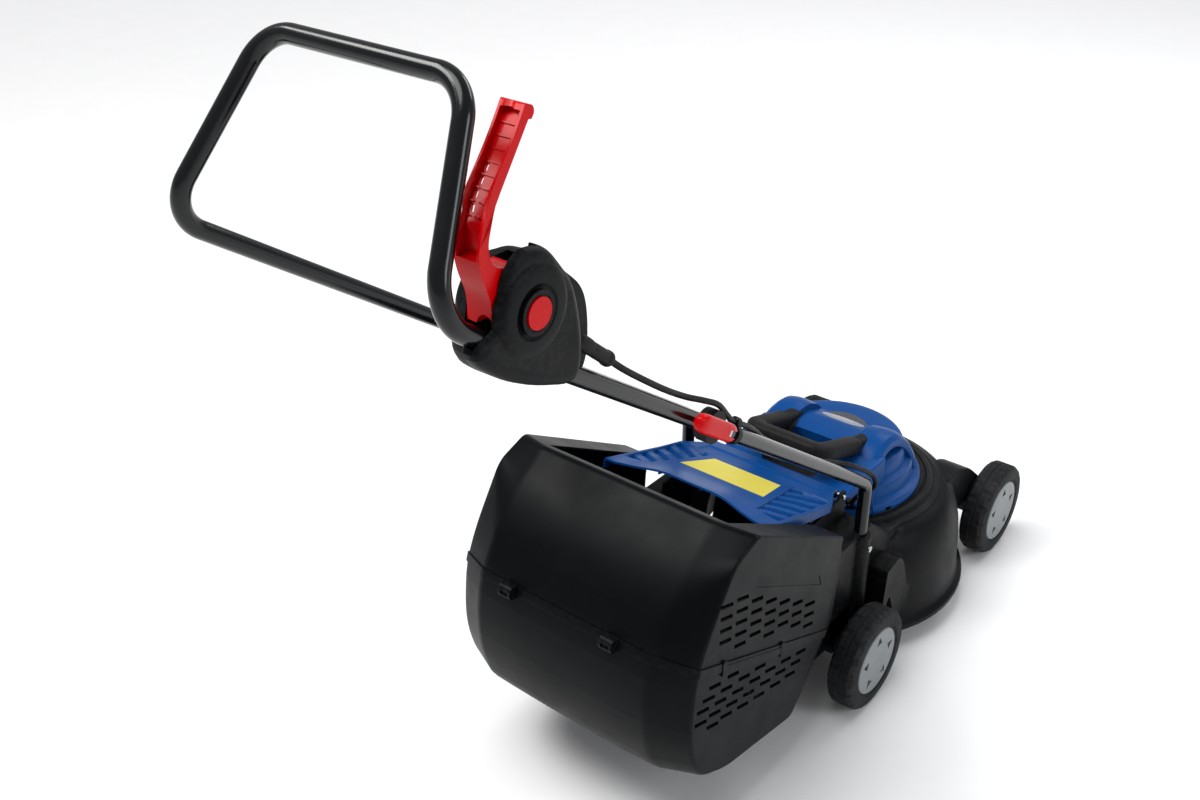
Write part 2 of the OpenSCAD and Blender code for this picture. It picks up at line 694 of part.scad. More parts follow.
// ---------------------------------------------------------------- switch box
drum_y = -606;
drum_z = 794;
split_x = 149.8;
box_x0 = 116;
box_x1 = 167;
lever_x = 145.5;
module switch_outline() {
    polygon([
        [-638, 795], [-640, 817], [-632, 836], [-619, 846], [-603, 845], [-584, 837], [-571, 820], [-556, 800],
        [-549, 770], [-546, 740], [-550, 716], [-563, 711], [-603, 727], [-633, 744], [-661, 766], [-672, 784],
    ]);
}
module arm_rod(s0, s1, r) { rod(arm(s0), arm(s1), r); }
module lever_gap() {
    side_plate(lever_x - 13.5, lever_x + 13.5) translate([drum_y, drum_z])
        polygon([[0, 0], [14, 60], [-60, 60], [-60, -11], [-22, -11]]);
    x_rod(lever_x - 13.5, lever_x + 13.5, drum_y, drum_z, 22);
}
module switch_box(x0, x1, open_x0, open_x1) {
    difference() {
        side_plate(x0, x1) switch_outline();
        side_plate(open_x0, open_x1) offset(delta = -2.6) switch_outline();
        lever_gap();
        arm_rod(700, 880, tube_r + 0.02);
        x_rod(box_x0 + 6, box_x1 - 6, drum_y, drum_z, 3.5);
        rod(arm(745, 29), arm(700, 25), 6.2);
    }
}
module ring_wall(x0, x1, y, z, r_out, r_in) {
    difference() {
        x_rod(x0, x1, y, z, r_out);
        x_rod(x0 - 1, x1 + 1, y, z, r_in);
    }
}
module switch_box_outer() {
    color(black) from_axle() difference() {
        union() {
            switch_box(split_x + 0.01, box_x1, split_x - 1, box_x1 - 3);
            ring_wall(box_x1 - 9, box_x1 - 2, drum_y, drum_z, 16, 5);
            for (p = screw_places) ring_wall(split_x + 0.01, box_x1 - 2, p[0], p[1], 4.2, 1.6);
        }
        x_rod(box_x1 - 2.6, box_x1 + 1, drum_y, drum_z, 18.05);
        x_rod(box_x1 - 5.9, box_x1, drum_y, drum_z, 13.4);
        x_rod(box_x1 - 10, box_x1, drum_y, drum_z, 5.1);
    }
}
screw_places = [[-558, 780], [-578, 812]];
module switch_box_inner() {
    color(black) from_axle() {
        difference() {
            union() {
                switch_box(box_x0, split_x, box_x0 + 3, split_x + 1);
                for (p = screw_places) ring_wall(box_x0 + 2, split_x - 1, p[0], p[1], 4.2, 1.6);
            }
            for (p = screw_places) x_rod(box_x0 - 1, box_x0 + 4, p[0], p[1], 1.6);
            arm_rod(700, 880, tube_r + 0.02);
            x_rod(box_x0 - 1, box_x0 + 4, -575, 745, 13);
        }
    }
}
module box_screws() {
    color(steel) from_axle() for (p = screw_places) {
        x_rod(box_x0, split_x + 8, p[0], p[1], 1.6);
        x_rod(box_x0 - 1.2, box_x0, p[0], p[1], 3);
    }
}
module lever_pivot() {
    color(steel) from_axle() x_rod(box_x0 + 6, box_x1 - 10.7, drum_y, drum_z, 3.5);
}
lever_tilt = 51.3;
lever_lean = 14.4;
squeeze = 16;
// Frame of the lever: origin on the drum axis, Z along the lever, Y towards the front.
module at_lever() { translate([lever_x, drum_y, drum_z]) rotate([-lever_tilt, 0, 0]) children(); }
module lever_blade() {
    difference() {
        side_plate(-12.3, 12.3)
            polygon([
                [-66, 5.5], [-75.6, 16], [-76.8, 40], [-75.8, 74], [-75, 111], [-71.6, 114], [-71.6, 120], [-75, 122.5],
                [-84.5, 117.5], [-83.8, 84], [-85.4, 60], [-86.6, 40], [-86.6, 24], [-82.5, 10], [-73, -3.5],
            ]);
        // the channel in its rear face
        side_plate(-10.1, 10.1)
            polygon([[-79.2, 112], [-78.4, 74], [-79.4, 40], [-78.4, 18], [-100, 18], [-100, 108]]);
    }
}
module lever_root() {
    side_plate(-12.3, 12.3)
        polygon([
            [-20, 12], [-38, 14.5], [-52, 2.2], [-66, 5.5], [-75, 14], [-84, 12], [-73, -3.5], [-57, -11],
            [-40, -16], [-26, -26], [-12, -20],
        ]);
    x_rod(-10, 10, 0, 0, 12);
}
// Room for the arm and the start of its bend over the whole squeeze.
module squeeze_room() {
    bend_s = arm_s - 38;
    for (a = [0:4:squeeze]) translate([0, drum_y, drum_z]) rotate([-a, 0, 0]) translate([0, -drum_y, -drum_z]) {
        arm_rod(700, bend_s + 2, tube_r + 1);
        rod(arm(bend_s), arm(bend_s + 20, 4), tube_r + 1.6);
        rod(arm(bend_s + 20, 4), arm(bend_s + 34, 19), tube_r + 1.6);
    }
    // the channel closes round the upright of the loop
    for (a = [4:2:squeeze]) translate([0, drum_y, drum_z]) rotate([-a, 0, 0]) translate([0, -drum_y, -drum_z])
        rod(corner_low, corner_high, tube_r + 0.8);
}
module switch_lever() {
    color(red) from_axle() difference() {
        at_lever() {
            lever_root();
            rotate([0, -lever_lean, 0]) lever_blade();
        }
        x_rod(100, 180, drum_y, drum_z, 3.5 + run_fit);
        squeeze_room();
    }
}
module switch_block() {
    color(dark_grey) from_axle() translate([126, -592, 758.5]) cube([14, 26, 14]);
}
module safety_button() {
    color(red) from_axle() {
        x_rod(box_x1 - 1.4, box_x1 + 4.5, drum_y, drum_z, 13);
        x_rod(box_x1 - 6.2, box_x1 - 1, drum_y, drum_z, 5);
    }
}
module button_ring() {
    color(black) from_axle() difference() {
        ring_wall(box_x1 - 2.6, box_x1 + 3.5, drum_y, drum_z, 18, 13.1);
        x_rod(box_x1 + 2.5, box_x1 + 5, drum_y, drum_z, 14.5);
    }
}
module mains_inlet() {
    color(black) from_axle() {
        ring_wall(box_x0 - 6, box_x0 + 8, -575, 745, 12.9, 10.6);
        x_rod(box_x0 + 5, box_x0 + 8, -575, 745, 10.6);
        for (dy = [-5, 5]) x_rod(box_x0 - 2, box_x0 + 6, -575 + dy, 745, 2);
    }
}

// ---------------------------------------------------------------- motor cable
cord_r = 3.1;
boot_end = arm(668, 22);
// Hand-set route from the boot to the clip below the fold joint.
fold_route = [
    boot_end, arm(640, 19), arm(600, 17), arm(560, 16), arm(520, 17), arm(485, 20), arm(454, 21.5),
    arm(430, 16), arm(418, 12.5),
];
// Hand-set route from the clip, behind the arm, over the elbow and back to the motor cover.
lower_route = [
    arm(416.6, 12.2), arm(396, 12.2), arm(372, 12.2, -2), arm(340, 10.4, -7), arm(300, 6, -11.2), arm(220, 5, -11.6),
    arm(140, 6, -11.2), arm(100, 10, -8), arm(70, 13.6, -3), arm(40, 14.4, 1), [140.5, 36.5, 316],
    [142, 47, 304], [141.5, 51.8, 291], [134, 53, 280], [123, 55, 269], [113, 60, 256], [106.6, 65.5, 244.5],
    [104.6, 67.4, 240.6], [103.1, 68, 240],
];
module cable_boot() {
    color(black) from_axle() difference() {
        rod(arm(745, 29), boot_end, 5.6);
        for (k = [0:4]) difference() {
            rod(arm(692 - 5 * k, 24.4 - 0.5 * k), arm(690 - 5 * k, 24.2 - 0.5 * k), 7);
            rod(arm(693 - 5 * k, 24.5 - 0.5 * k), arm(689 - 5 * k, 24.1 - 0.5 * k), 4.7);
        }
    }
}
module cable_fold() { color(black) from_axle() swept_cord(smooth(fold_route, 2), cord_r, 10); }
module cable_lower() { color(black) from_axle() swept_cord(smooth(lower_route, 3), cord_r, 10); }
module clip_ring(s) {
    difference() {
        union() {
            arm_rod(s - 4, s + 4, tube_r + 2.2);
            rod(arm(s - 4, 12.4), arm(s + 4, 12.4), cord_r + 2.2);
        }
        arm_rod(s - 5, s + 5, tube_r);
        rod(arm(s - 5, 12.4), arm(s + 5, 12.4), cord_r + 0.8);
    }
}
module cable_clip() {
    color(black) from_axle() clip_ring(404);
}
module cable_grommet() {
    color(black) from_axle() {
        difference() {
            x_rod(95.6, 101.8, 68, 240, 4.6);
            x_rod(90, 96.8, 68, 240, 3);
        }
    }
}

deck();
rear_axle();
front_axle();
axle_caps();
rear_wheel_right();
rear_wheel_left();
front_wheel_right();
front_wheel_left();
rear_hub_cap_right();
rear_hub_cap_left();
front_hub_cap_right();
front_hub_cap_left();
motor_can();
motor_screws();
armature();
motor_shaft();
cooling_fan();
blade_holder();
cutting_blade();
blade_bolt();
motor_cover();
carry_handle();
cover_inlay();
cover_screws();
rear_flap();
flap_label();
flap_hinge_pin();
flap_spring();
box_upper_shell();
box_lower_shell();
box_clips();
lower_tube_right();
lower_tube_left();
post_screws();
lower_knuckle_right();
lower_knuckle_left();
upper_knuckle_right();
upper_knuckle_left();
clamp_bolt_right();
clamp_bolt_left();
cam_pins();
cam_lever_right();
cam_lever_left();
upper_handle();
switch_box_outer();
switch_box_inner();
box_screws();
switch_lever();
lever_pivot();
switch_block();
safety_button();
button_ring();
mains_inlet();
cable_boot();
cable_fold();
cable_lower();
cable_clip();
cable_grommet();
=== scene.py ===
"""Electric walk-behind lawn mower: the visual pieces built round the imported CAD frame.

Lengths inside this script are millimetres counted from the rear axle, as in the CAD
source, and place() turns them into metres in the shared frame.
"""

import json
import math

import bmesh
import bpy
from mathutils import Matrix, Vector


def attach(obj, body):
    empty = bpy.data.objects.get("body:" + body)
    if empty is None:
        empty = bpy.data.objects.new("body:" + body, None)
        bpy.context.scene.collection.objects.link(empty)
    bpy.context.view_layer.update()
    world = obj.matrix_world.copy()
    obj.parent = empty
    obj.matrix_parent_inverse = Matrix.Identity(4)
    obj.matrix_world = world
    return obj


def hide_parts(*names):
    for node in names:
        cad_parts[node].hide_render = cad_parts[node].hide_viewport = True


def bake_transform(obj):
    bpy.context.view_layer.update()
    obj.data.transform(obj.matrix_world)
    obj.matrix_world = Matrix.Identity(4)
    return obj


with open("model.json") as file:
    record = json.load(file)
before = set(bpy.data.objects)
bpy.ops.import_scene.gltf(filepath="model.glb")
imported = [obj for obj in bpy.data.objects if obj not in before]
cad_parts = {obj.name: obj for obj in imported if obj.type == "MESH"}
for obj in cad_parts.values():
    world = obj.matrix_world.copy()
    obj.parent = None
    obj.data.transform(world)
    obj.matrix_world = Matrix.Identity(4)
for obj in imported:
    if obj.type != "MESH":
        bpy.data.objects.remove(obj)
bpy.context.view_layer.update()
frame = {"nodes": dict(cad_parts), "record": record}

RECORD = frame["record"]
JOINTS = {j["name"]: j for j in RECORD["behaviour"]["joints"]}
AXLE_Y = JOINTS["wheel_rear_right_spin"]["pos_m"][1] * 1000
LOOP = math.tau
WELD = 1e-6  # metres: points nearer than this are one
NORMAL_WEIGHT = 60


# ---------------- small helpers
def place(p):
    """Millimetres from the rear axle to metres in the row frame."""
    return (p[0] / 1000, (p[1] + AXLE_Y) / 1000, p[2] / 1000)


def lerp(a, b, t):
    return tuple(x + (y - x) * t for x, y in zip(a, b))


def span(side, inner, outer):
    """The two places across the width, in rising order, on the right (1) or the left (-1)."""
    return sorted((side * inner, side * outer))


def rod(radius, start, end):
    """The lathe profile of a plain round bar."""
    return [(0, start), (radius, start), (radius, end), (0, end)]


def circle(radius, steps):
    return [(radius * math.cos(LOOP * k / steps), radius * math.sin(LOOP * k / steps)) for k in range(steps)]


def sweep(radius, first, last, step):
    """Points on an arc, from one whole degree to another."""
    turns = [math.radians(a) for a in range(first, last, step)]
    return [(radius * math.cos(a), radius * math.sin(a)) for a in turns]


def smoothstep(lo, hi, v):
    t = min(1.0, max(0.0, (v - lo) / (hi - lo)))
    return t * t * (3 - 2 * t)


def catmull(points, per):
    """A smooth line through the points, with `per` steps between two of them."""
    out = []
    last = len(points) - 1
    for i in range(last):
        a, b, c, d = (Vector(points[k]) for k in (max(i - 1, 0), i, i + 1, min(i + 2, last)))
        for k in range(per):
            t = k / per
            out.append(0.5 * (2 * b + (c - a) * t + (2 * a - 5 * b + 4 * c - d) * t * t
                              + (3 * b - a - 3 * c + d) * t ** 3))
    out.append(Vector(points[-1]))
    return out


def rounded(corners, radii, steps=5, closed=False):
    """The outline with each corner rounded; every corner gives the same number of points."""
    out = []
    n = len(corners)
    for i, c in enumerate(corners):
        c = Vector(c)
        if not closed and i in (0, n - 1):
            out.append(c)
            continue
        a, b = Vector(corners[i - 1]), Vector(corners[(i + 1) % n])
        p = c + (a - c).normalized() * min(radii[i], (a - c).length * 0.49)
        q = c + (b - c).normalized() * min(radii[i], (b - c).length * 0.49)
        for k in range(steps + 1):
            t = k / steps
            out.append(p * (1 - t) ** 2 + c * 2 * t * (1 - t) + q * t * t)
    return out


class Solid:
    """Collects several closed forms into one mesh."""

    def __init__(self):
        self.verts = []
        self.faces = []

    def add(self, verts, faces):
        base = len(self.verts)
        self.verts += [tuple(v) for v in verts]
        self.faces += [tuple(base + i for i in f) for f in faces]
        return self

    def prism(self, outline, x0, x1):
        """A side outline in Y and Z, pushed out along X."""
        n = len(outline)
        verts = [(x0, *p) for p in outline] + [(x1, *p) for p in outline]
        faces = [(i, (i + 1) % n, n + (i + 1) % n, n + i) for i in range(n)]
        return self.add(verts, faces + [tuple(range(n - 1, -1, -1)), tuple(range(n, 2 * n))])

    def loft(self, rings, cap_start=True, cap_end=True, closed=True):
        """Skins rings of equal length, one after another."""
        n = len(rings[0])
        verts = [p for ring in rings for p in ring]
        sides = n if closed else n - 1
        faces = [
            (r * n + i, r * n + (i + 1) % n, (r + 1) * n + (i + 1) % n, (r + 1) * n + i)
            for r in range(len(rings) - 1) for i in range(sides)
        ]
        if cap_start:
            faces.append(tuple(range(n - 1, -1, -1)))
        if cap_end:
            last = (len(rings) - 1) * n
            faces.append(tuple(range(last, last + n)))
        return self.add(verts, faces)

    def lathe(self, profile, centre, steps=96, axis="z"):
        """Turns (radius, height) points round an upright axis, or one along X."""
        rings = []
        for k in range(steps):
            a = LOOP * k / steps
            c, s = math.cos(a), math.sin(a)
            if axis == "z":
                rings.append([(centre[0] + r * c, centre[1] + r * s, centre[2] + h) for r, h in profile])
            else:
                rings.append([(centre[0] + h, centre[1] + r * c, centre[2] + r * s) for r, h in profile])
        rings.append(rings[0])
        return self.loft(rings, False, False, closed=profile[0] != profile[-1] and profile[0][0] > 0)

    def tube(self, path, radius, sides=24, section=None, caps=True):
        """A round bar along a path, or one with its own section of (side, up) points."""
        path = [Vector(p) for p in path]
        rings = []
        up = Vector((0, 0, 1))
        tangent = (path[1] - path[0]).normalized()
        if abs(tangent.z) > 0.95:
            up = Vector((0, 1, 0))
        side = tangent.cross(up).normalized()
        for i, p in enumerate(path):
            t = (path[min(i + 1, len(path) - 1)] - path[max(i - 1, 0)]).normalized()
            side = (side - t * side.dot(t)).normalized()
            top = side.cross(t)
            if section:
                rings.append([p + side * a + top * b for a, b in section])
            else:
                rings.append([
                    p + radius * (side * math.cos(LOOP * k / sides) + top * math.sin(LOOP * k / sides))
                    for k in range(sides)
                ])
        return self.loft(rings, caps, caps)


def bent_path(points, radius, steps=10):
    """Corner points joined with true arcs of one radius."""
    out = [Vector(points[0])]
    for i in range(1, len(points) - 1):
        c = Vector(points[i])
        a = (c - Vector(points[i - 1])).normalized()
        b = (Vector(points[i + 1]) - c).normalized()
        turn = a.angle(b)
        start = c - a * radius * math.tan(turn / 2)
        centre = c + (b - a).normalized() * radius / math.cos(turn / 2)
        e = (start - centre).normalized()
        out += [
            centre + radius * (e * math.cos(turn * k / steps) + a * math.sin(turn * k / steps))
            for k in range(steps + 1)
        ]
    out.append(Vector(points[-1]))
    return out


def shrink(outline, d):
    """A closed 2-D outline moved inward by d, or outward where d is negative."""
    n = len(outline)
    area = sum(outline[i][0] * outline[(i + 1) % n][1] - outline[(i + 1) % n][0] * outline[i][1]
               for i in range(n))
    turn = 1 if area > 0 else -1
    out = []
    for i in range(n):
        p, c, q = (Vector(outline[k % n][:2]) for k in (i - 1, i, i + 1))
        a, b = (c - p).normalized(), (q - c).normalized()
        na, nb = Vector((-a.y, a.x)), Vector((-b.y, b.x))
        out.append(tuple(c + (na + nb) * (turn * d / max(0.35, 1 + na.dot(nb)))))
    return out


def new_object(name, data):
    obj = bpy.data.objects.new(name, data)
    bpy.context.scene.collection.objects.link(obj)
    return obj


def form(solid, name="form"):
    """A bare object from a solid, for booleans."""
    mesh = bpy.data.meshes.new(name)
    mesh.from_pydata([place(v) for v in solid.verts], [], solid.faces)
    bm = bmesh.new()
    bm.from_mesh(mesh)
    bmesh.ops.remove_doubles(bm, verts=bm.verts, dist=WELD)
    bmesh.ops.dissolve_degenerate(bm, edges=bm.edges, dist=WELD)
    bmesh.ops.recalc_face_normals(bm, faces=bm.faces)
    bm.to_mesh(mesh)
    bm.free()
    return new_object(name, mesh)


def apply_modifiers(obj):
    bpy.context.view_layer.update()
    deps = bpy.context.evaluated_depsgraph_get()
    mesh = bpy.data.meshes.new_from_object(obj.evaluated_get(deps))
    obj.modifiers.clear()
    obj.data = mesh
    return obj


def soft(obj, width, segments=3, angle=35.0):
    """Rounds the object's edges by that many millimetres."""
    mod = obj.modifiers.new("edges", "BEVEL")
    mod.width = width / 1000
    mod.segments = segments
    mod.limit_method = "ANGLE"
    mod.angle_limit = math.radians(angle)
    return apply_modifiers(obj)


def thicken(obj, thickness, offset=-1.0):
    """Makes a sheet solid, by that many millimetres."""
    mod = obj.modifiers.new("wall", "SOLIDIFY")
    mod.thickness = thickness / 1000
    mod.offset = offset
    return apply_modifiers(obj)


def combine(obj, tool, operation="UNION"):
    """Adds, takes away or keeps the overlap with another object or solid."""
    if isinstance(tool, Solid):
        tool = form(tool, "tool")
    mod = obj.modifiers.new("boolean", "BOOLEAN")
    mod.operation = operation
    mod.solver = "EXACT"
    mod.object = tool
    apply_modifiers(obj)
    bpy.data.objects.remove(tool)
    return obj


def take(obj, *tools):
    for tool in tools:
        combine(obj, tool, "DIFFERENCE")
    return obj


def twin(obj):
    other = obj.copy()
    other.data = obj.data.copy()
    bpy.context.scene.collection.objects.link(other)
    return other


def settle(obj, name, slot, body, replaced=(), angle=35.0):
    """Names a finished form, gives it the material of its slot and puts it on its body.
    Edges sharper than the angle stay crisp, and flat faces keep their own normals."""
    obj.name = name
    obj.data.name = name
    mesh = obj.data
    mesh.materials.clear()
    mesh.materials.append(MATERIALS[slot])
    mesh.polygons.foreach_set("material_index", [0] * len(mesh.polygons))
    mesh.polygons.foreach_set("use_smooth", [True] * len(mesh.polygons))
    mesh.set_sharp_from_angle(angle=math.radians(angle))
    weigh = obj.modifiers.new("normals", "WEIGHTED_NORMAL")
    weigh.keep_sharp = True
    weigh.weight = NORMAL_WEIGHT
    if body:
        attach(obj, body)
    if replaced:
        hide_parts(*replaced)
    return obj


def moved(solid, where):
    """The solid with every point passed through a function."""
    solid.verts = [tuple(where(Vector(v))) for v in solid.verts]
    return solid


def flip_x(obj):
    """A mirrored copy for the left-hand side."""
    other = twin(obj)
    for v in other.data.vertices:
        v.co.x = -v.co.x
    other.data.flip_normals()
    return other


def crossed(outline, x0, x1, edge, steps=3, radii=None):
    """Rings of a side outline pushed along X, with the rims at both ends rounded by `edge`."""
    radii = radii or [0.2] * len(outline)
    turns = [math.pi / 2 * k / steps for k in range(steps + 1)]
    start = [(edge * (1 - math.sin(a)), edge * (1 - math.cos(a))) for a in turns[::-1]]
    stations = [(x0 + e, d) for e, d in start] + [(x1 - e, d) for e, d in start[::-1]]
    return [[(x, *p) for p in rounded(shrink(outline, d), radii, 4, True)] for x, d in stations]


# ---------------- materials
def node_material(name, base, roughness, grain=0.0, grain_scale=900.0, mottle=0.0, wear=0.0,
                  metallic=0.0, coat=0.0, streak=0.0, specular=0.5, smudge=0.12):
    """A moulded or painted surface: its colour varies softly, its grain is a bump, and
    its roughness has smudges. Object coordinates keep it the same in every view."""
    mat = bpy.data.materials.new(name)
    mat.use_nodes = True
    nodes, links = mat.node_tree.nodes, mat.node_tree.links
    shader = nodes["Principled BSDF"]
    for key, value in (("Metallic", metallic), ("Coat Weight", coat), ("Coat Roughness", 0.12),
                       ("Specular IOR Level", specular)):
        shader.inputs[key].default_value = value

    def add(kind, values=(), wires=()):
        """A node with its values and what is wired into it."""
        node = nodes.new("ShaderNode" + kind)
        for key, value in dict(values).items():
            node.inputs[key].default_value = value
        for key, source in dict(wires).items():
            links.new(source, node.inputs[key])
        return node

    where = add("TexCoord").outputs["Object"]

    def noise(scale, detail, rough, at=where):
        return add("TexNoise", {"Scale": scale, "Detail": detail, "Roughness": rough},
                   {"Vector": at}).outputs["Fac"]

    def ramp(source, lo, hi, low, high):
        return add("MapRange", {"From Min": lo, "From Max": hi, "To Min": low, "To Max": high},
                   {"Value": source}).outputs["Result"]

    tint = add("ValToRGB", (), {"Fac": noise(9.0, 4.0, 0.55)})
    dark = tuple(c * (1 - mottle) for c in base)
    light = tuple(min(1.0, c * (1 + mottle) + 0.004 * mottle) for c in base)
    for stop, spot, shade in zip(tint.color_ramp.elements, (0.3, 0.7), (dark, light)):
        stop.color = (*shade, 1)
        stop.position = spot
    colour = tint.outputs["Color"]
    if wear > 0:
        edge = ramp(add("NewGeometry").outputs["Pointiness"], 0.51, 0.56, 0.0, wear)
        spots = ramp(noise(160.0, 6.0, 0.7), 0.42, 0.62, 0.0, 1.0)
        both = add("Math", (), {0: edge, 1: spots})
        both.operation = "MULTIPLY"
        mix = add("Mix")
        mix.data_type = "RGBA"
        links.new(both.outputs[0], mix.inputs["Factor"])
        links.new(colour, mix.inputs[6])
        mix.inputs[7].default_value = (*[min(1.0, c * 1.6 + 0.07) for c in base], 1)
        colour = mix.outputs[2]
    links.new(colour, shader.inputs["Base Color"])
    rough = ramp(noise(22.0, 5.0, 0.6), 0.3, 0.7,
                 max(0.03, roughness - smudge), min(1.0, roughness + smudge))
    links.new(rough, shader.inputs["Roughness"])
    if grain > 0 or streak > 0:
        at = where
        if streak > 0:
            at = add("Mapping", {"Scale": (1.0, 14.0, 14.0)}, {"Vector": where}).outputs["Vector"]
        bump = add("Bump", {"Strength": max(grain, streak), "Distance": 0.0004},
                   {"Height": noise(grain_scale, 2.0, 0.5, at)})
        links.new(bump.outputs["Normal"], shader.inputs["Normal"])
    return mat


# One material for each slot of the record; black parts are far darker than they look lit.
LOOKS = {
    "black_plastic": dict(base=(0.0019, 0.0024, 0.0031), roughness=0.46, grain=0.20, mottle=0.10,
                          wear=0.10, specular=0.10, smudge=0.06),
    "box_plastic": dict(base=(0.0011, 0.0018, 0.0026), roughness=0.40, grain=0.16, grain_scale=700,
                        mottle=0.08, wear=0.10, specular=0.08, smudge=0.05),
    "blue_plastic": dict(base=(0.0001, 0.050, 0.21), roughness=0.36, grain=0.12, mottle=0.05,
                         wear=0.06, specular=0.13, smudge=0.06),
    "grey_plastic": dict(base=(0.0080, 0.0080, 0.0084), roughness=0.55, grain=0.40, grain_scale=520,
                         mottle=0.12, wear=0.15, specular=0.12, smudge=0.08),
    "red_plastic": dict(base=(0.56, 0.0001, 0.0020), roughness=0.26, grain=0.05, mottle=0.05,
                        wear=0.03, specular=0.12, smudge=0.05),
    "tyre_plastic": dict(base=(0.0058, 0.0066, 0.0074), roughness=0.68, grain=0.4, grain_scale=420,
                         mottle=0.20, wear=0.35, specular=0.16, smudge=0.08),
    "hub_grey": dict(base=(0.185, 0.20, 0.205), roughness=0.42, grain=0.12, mottle=0.08, wear=0.2,
                     smudge=0.08),
    "tube_paint": dict(base=(0.0015, 0.0024, 0.0033), roughness=0.20, grain=0.04, mottle=0.12,
                       coat=0.22, smudge=0.05, specular=0.26),
    "steel": dict(base=(0.55, 0.56, 0.58), roughness=0.34, grain=0.1, mottle=0.08, metallic=1.0,
                  streak=0.2),
    "motor_steel": dict(base=(0.11, 0.11, 0.12), roughness=0.55, grain=0.3, mottle=0.2, metallic=0.8),
    "label_yellow": dict(base=(0.60, 0.52, 0.07), roughness=0.40, grain=0.05, mottle=0.07,
                         specular=0.25),
    "silver_film": dict(base=(0.42, 0.44, 0.48), roughness=0.28, grain=0.04, mottle=0.10,
                        metallic=0.6),
    "rubber": dict(base=(0.0026, 0.0028, 0.0031), roughness=0.52, grain=0.18, mottle=0.12,
                   specular=0.16),
}


def dress_cad_nodes():
    """Gives every CAD node that stays on show the material of its slot."""
    slots = {s["node"]: s["material_slot"] for s in RECORD["subparts"]}
    for name, obj in frame["nodes"].items():
        material = MATERIALS[slots[name]]
        if not obj.data.materials:
            obj.data.materials.append(material)
        for i in range(len(obj.data.materials)):
            obj.data.materials[i] = material


# ---------------- grass box
BOX_SIDE = [(-66, 289), (-88, 160), (-156, 69), (-300, 96), (-358, 124), (-376, 180), (-377, 226),
            (-368, 292), (-306, 385), (-262, 400)]
BOX_MIDDLE = [(-66, 289), (-88, 160), (-156, 69), (-310, 96), (-378, 122), (-398, 180), (-402, 240),
              (-391, 295), (-345, 360), (-279, 408)]
BOX_RADII = [3, 10, 10, 16, 26, 40, 40, 60, 12, 7]
MIDDLE_RADII = [3, 10, 10, 16, 26, 40, 40, 60, 40, 7]
BOX_HALF = 166
BOX_WALL = 2.6
MOUTH_HALF = 126
CHAMFER_X = 120
CHAMFER_BLEND = 0.10
SEAM_SLOPE = 0.443
SEAM_GAP = 0.5
CLIP_X = (-84, 60)
CLIP_WIDTH = 18
HOOK_Y = (-196, -318)


def seam_z(y):
    return 147.6 - SEAM_SLOPE * (y + 60)


def box_ring(x, inset):
    """The box's outline at one place across its width."""
    side = rounded(shrink(BOX_SIDE, inset), BOX_RADII, 5, True)
    middle = rounded(shrink(BOX_MIDDLE, inset), MIDDLE_RADII, 5, True)
    t = (abs(x) - CHAMFER_X) / (BOX_HALF - CHAMFER_X)
    b = CHAMFER_BLEND
    fall = 0.0 if t < -b else t if t > b else (t + b) ** 2 / (4 * b)
    crown = 2.5 * min(1.0, (x / CHAMFER_X) ** 2)
    ring = []
    for p, q in zip(side, middle):
        y, z = q + (p - q) * min(1.0, fall)
        ring.append((x, y + (crown - 1.2) * smoothstep(300, 370, -y), z))
    return ring


def box_form(grow):
    half = BOX_HALF + grow
    steps = [(0, 3.4), (0.5, 1.9), (1.7, 0.6), (3.4, 0.0)]
    stations = [(half - e, d - grow) for e, d in steps]
    stations += [(x, -grow) for x in (154, 142, 132, 126, 124, 122, 120, 118, 116, 108, 95, 80, 50, 20)]
    stations += [(-x, d) for x, d in stations[::-1]]
    rings = [box_ring(x, d) for x, d in stations]
    return form(Solid().loft(rings))


def seam_side(shift, end):
    """All that lies between the seam, moved up by shift, and one height."""
    seam = [(y, seam_z(y) + shift) for y in (0, -480)]
    return Solid().prism([*seam, (-480, end), (0, end)], -220, 220)


def below_seam(shift):
    return seam_side(shift, -40)


def above_seam(shift):
    return seam_side(shift, 520)


def box_mouth():
    outline = [(-30, 108), (-132, 108), (-92, 160), (-74, 270), (-262, 379), (-262, 470), (-30, 470)]
    return form(Solid().prism(outline, -MOUTH_HALF, MOUTH_HALF))


def vent_slots():
    """Leaning slots through both side walls: straight columns above the seam, a staggered
    field below it."""
    slots = Solid()
    places = [(-136 - 30.2 * k, 232 + 20.2 * k - 15.8 * row)
              for k, count in enumerate((3, 3, 3, 4, 4, 5, 4)) for row in range(count)]
    places = [(y, z - (12 if y < -310 else 0)) for y, z in places]
    for y, z, count in ((-147, 166.7, 1), (-182, 177.4, 2), (-240, 206.3, 4), (-296.9, 233.6, 5),
                        (-332.5, 242.1, 5), (-343.4, 231.4, 4), (-353.5, 221.5, 3), (-357, 206, 2)):
        places += [(y + 23.6 * k, z - 19.9 * k) for k in range(count)]
    for y, z in places:
        leaf = [(-11.5, 0.9), (11.5, -6.6), (10.3, -0.9), (-12.3, 6.6)]
        for side in (-1, 1):
            outline = [(y + a, z + b) for a, b in leaf]
            slots.prism(outline, *span(side, BOX_HALF - 9, BOX_HALF + 9))
    return form(slots)


def label_panels():
    """The plain sunk panel above the vents, on both sides."""
    outline = rounded([(-113, 246), (-261, 331), (-261, 347), (-119, 263)], [2] * 4, 3, True)
    panels = Solid()
    for side in (-1, 1):
        panels.prism(outline, *span(side, BOX_HALF - 0.7, BOX_HALF + 9))
    return form(panels)


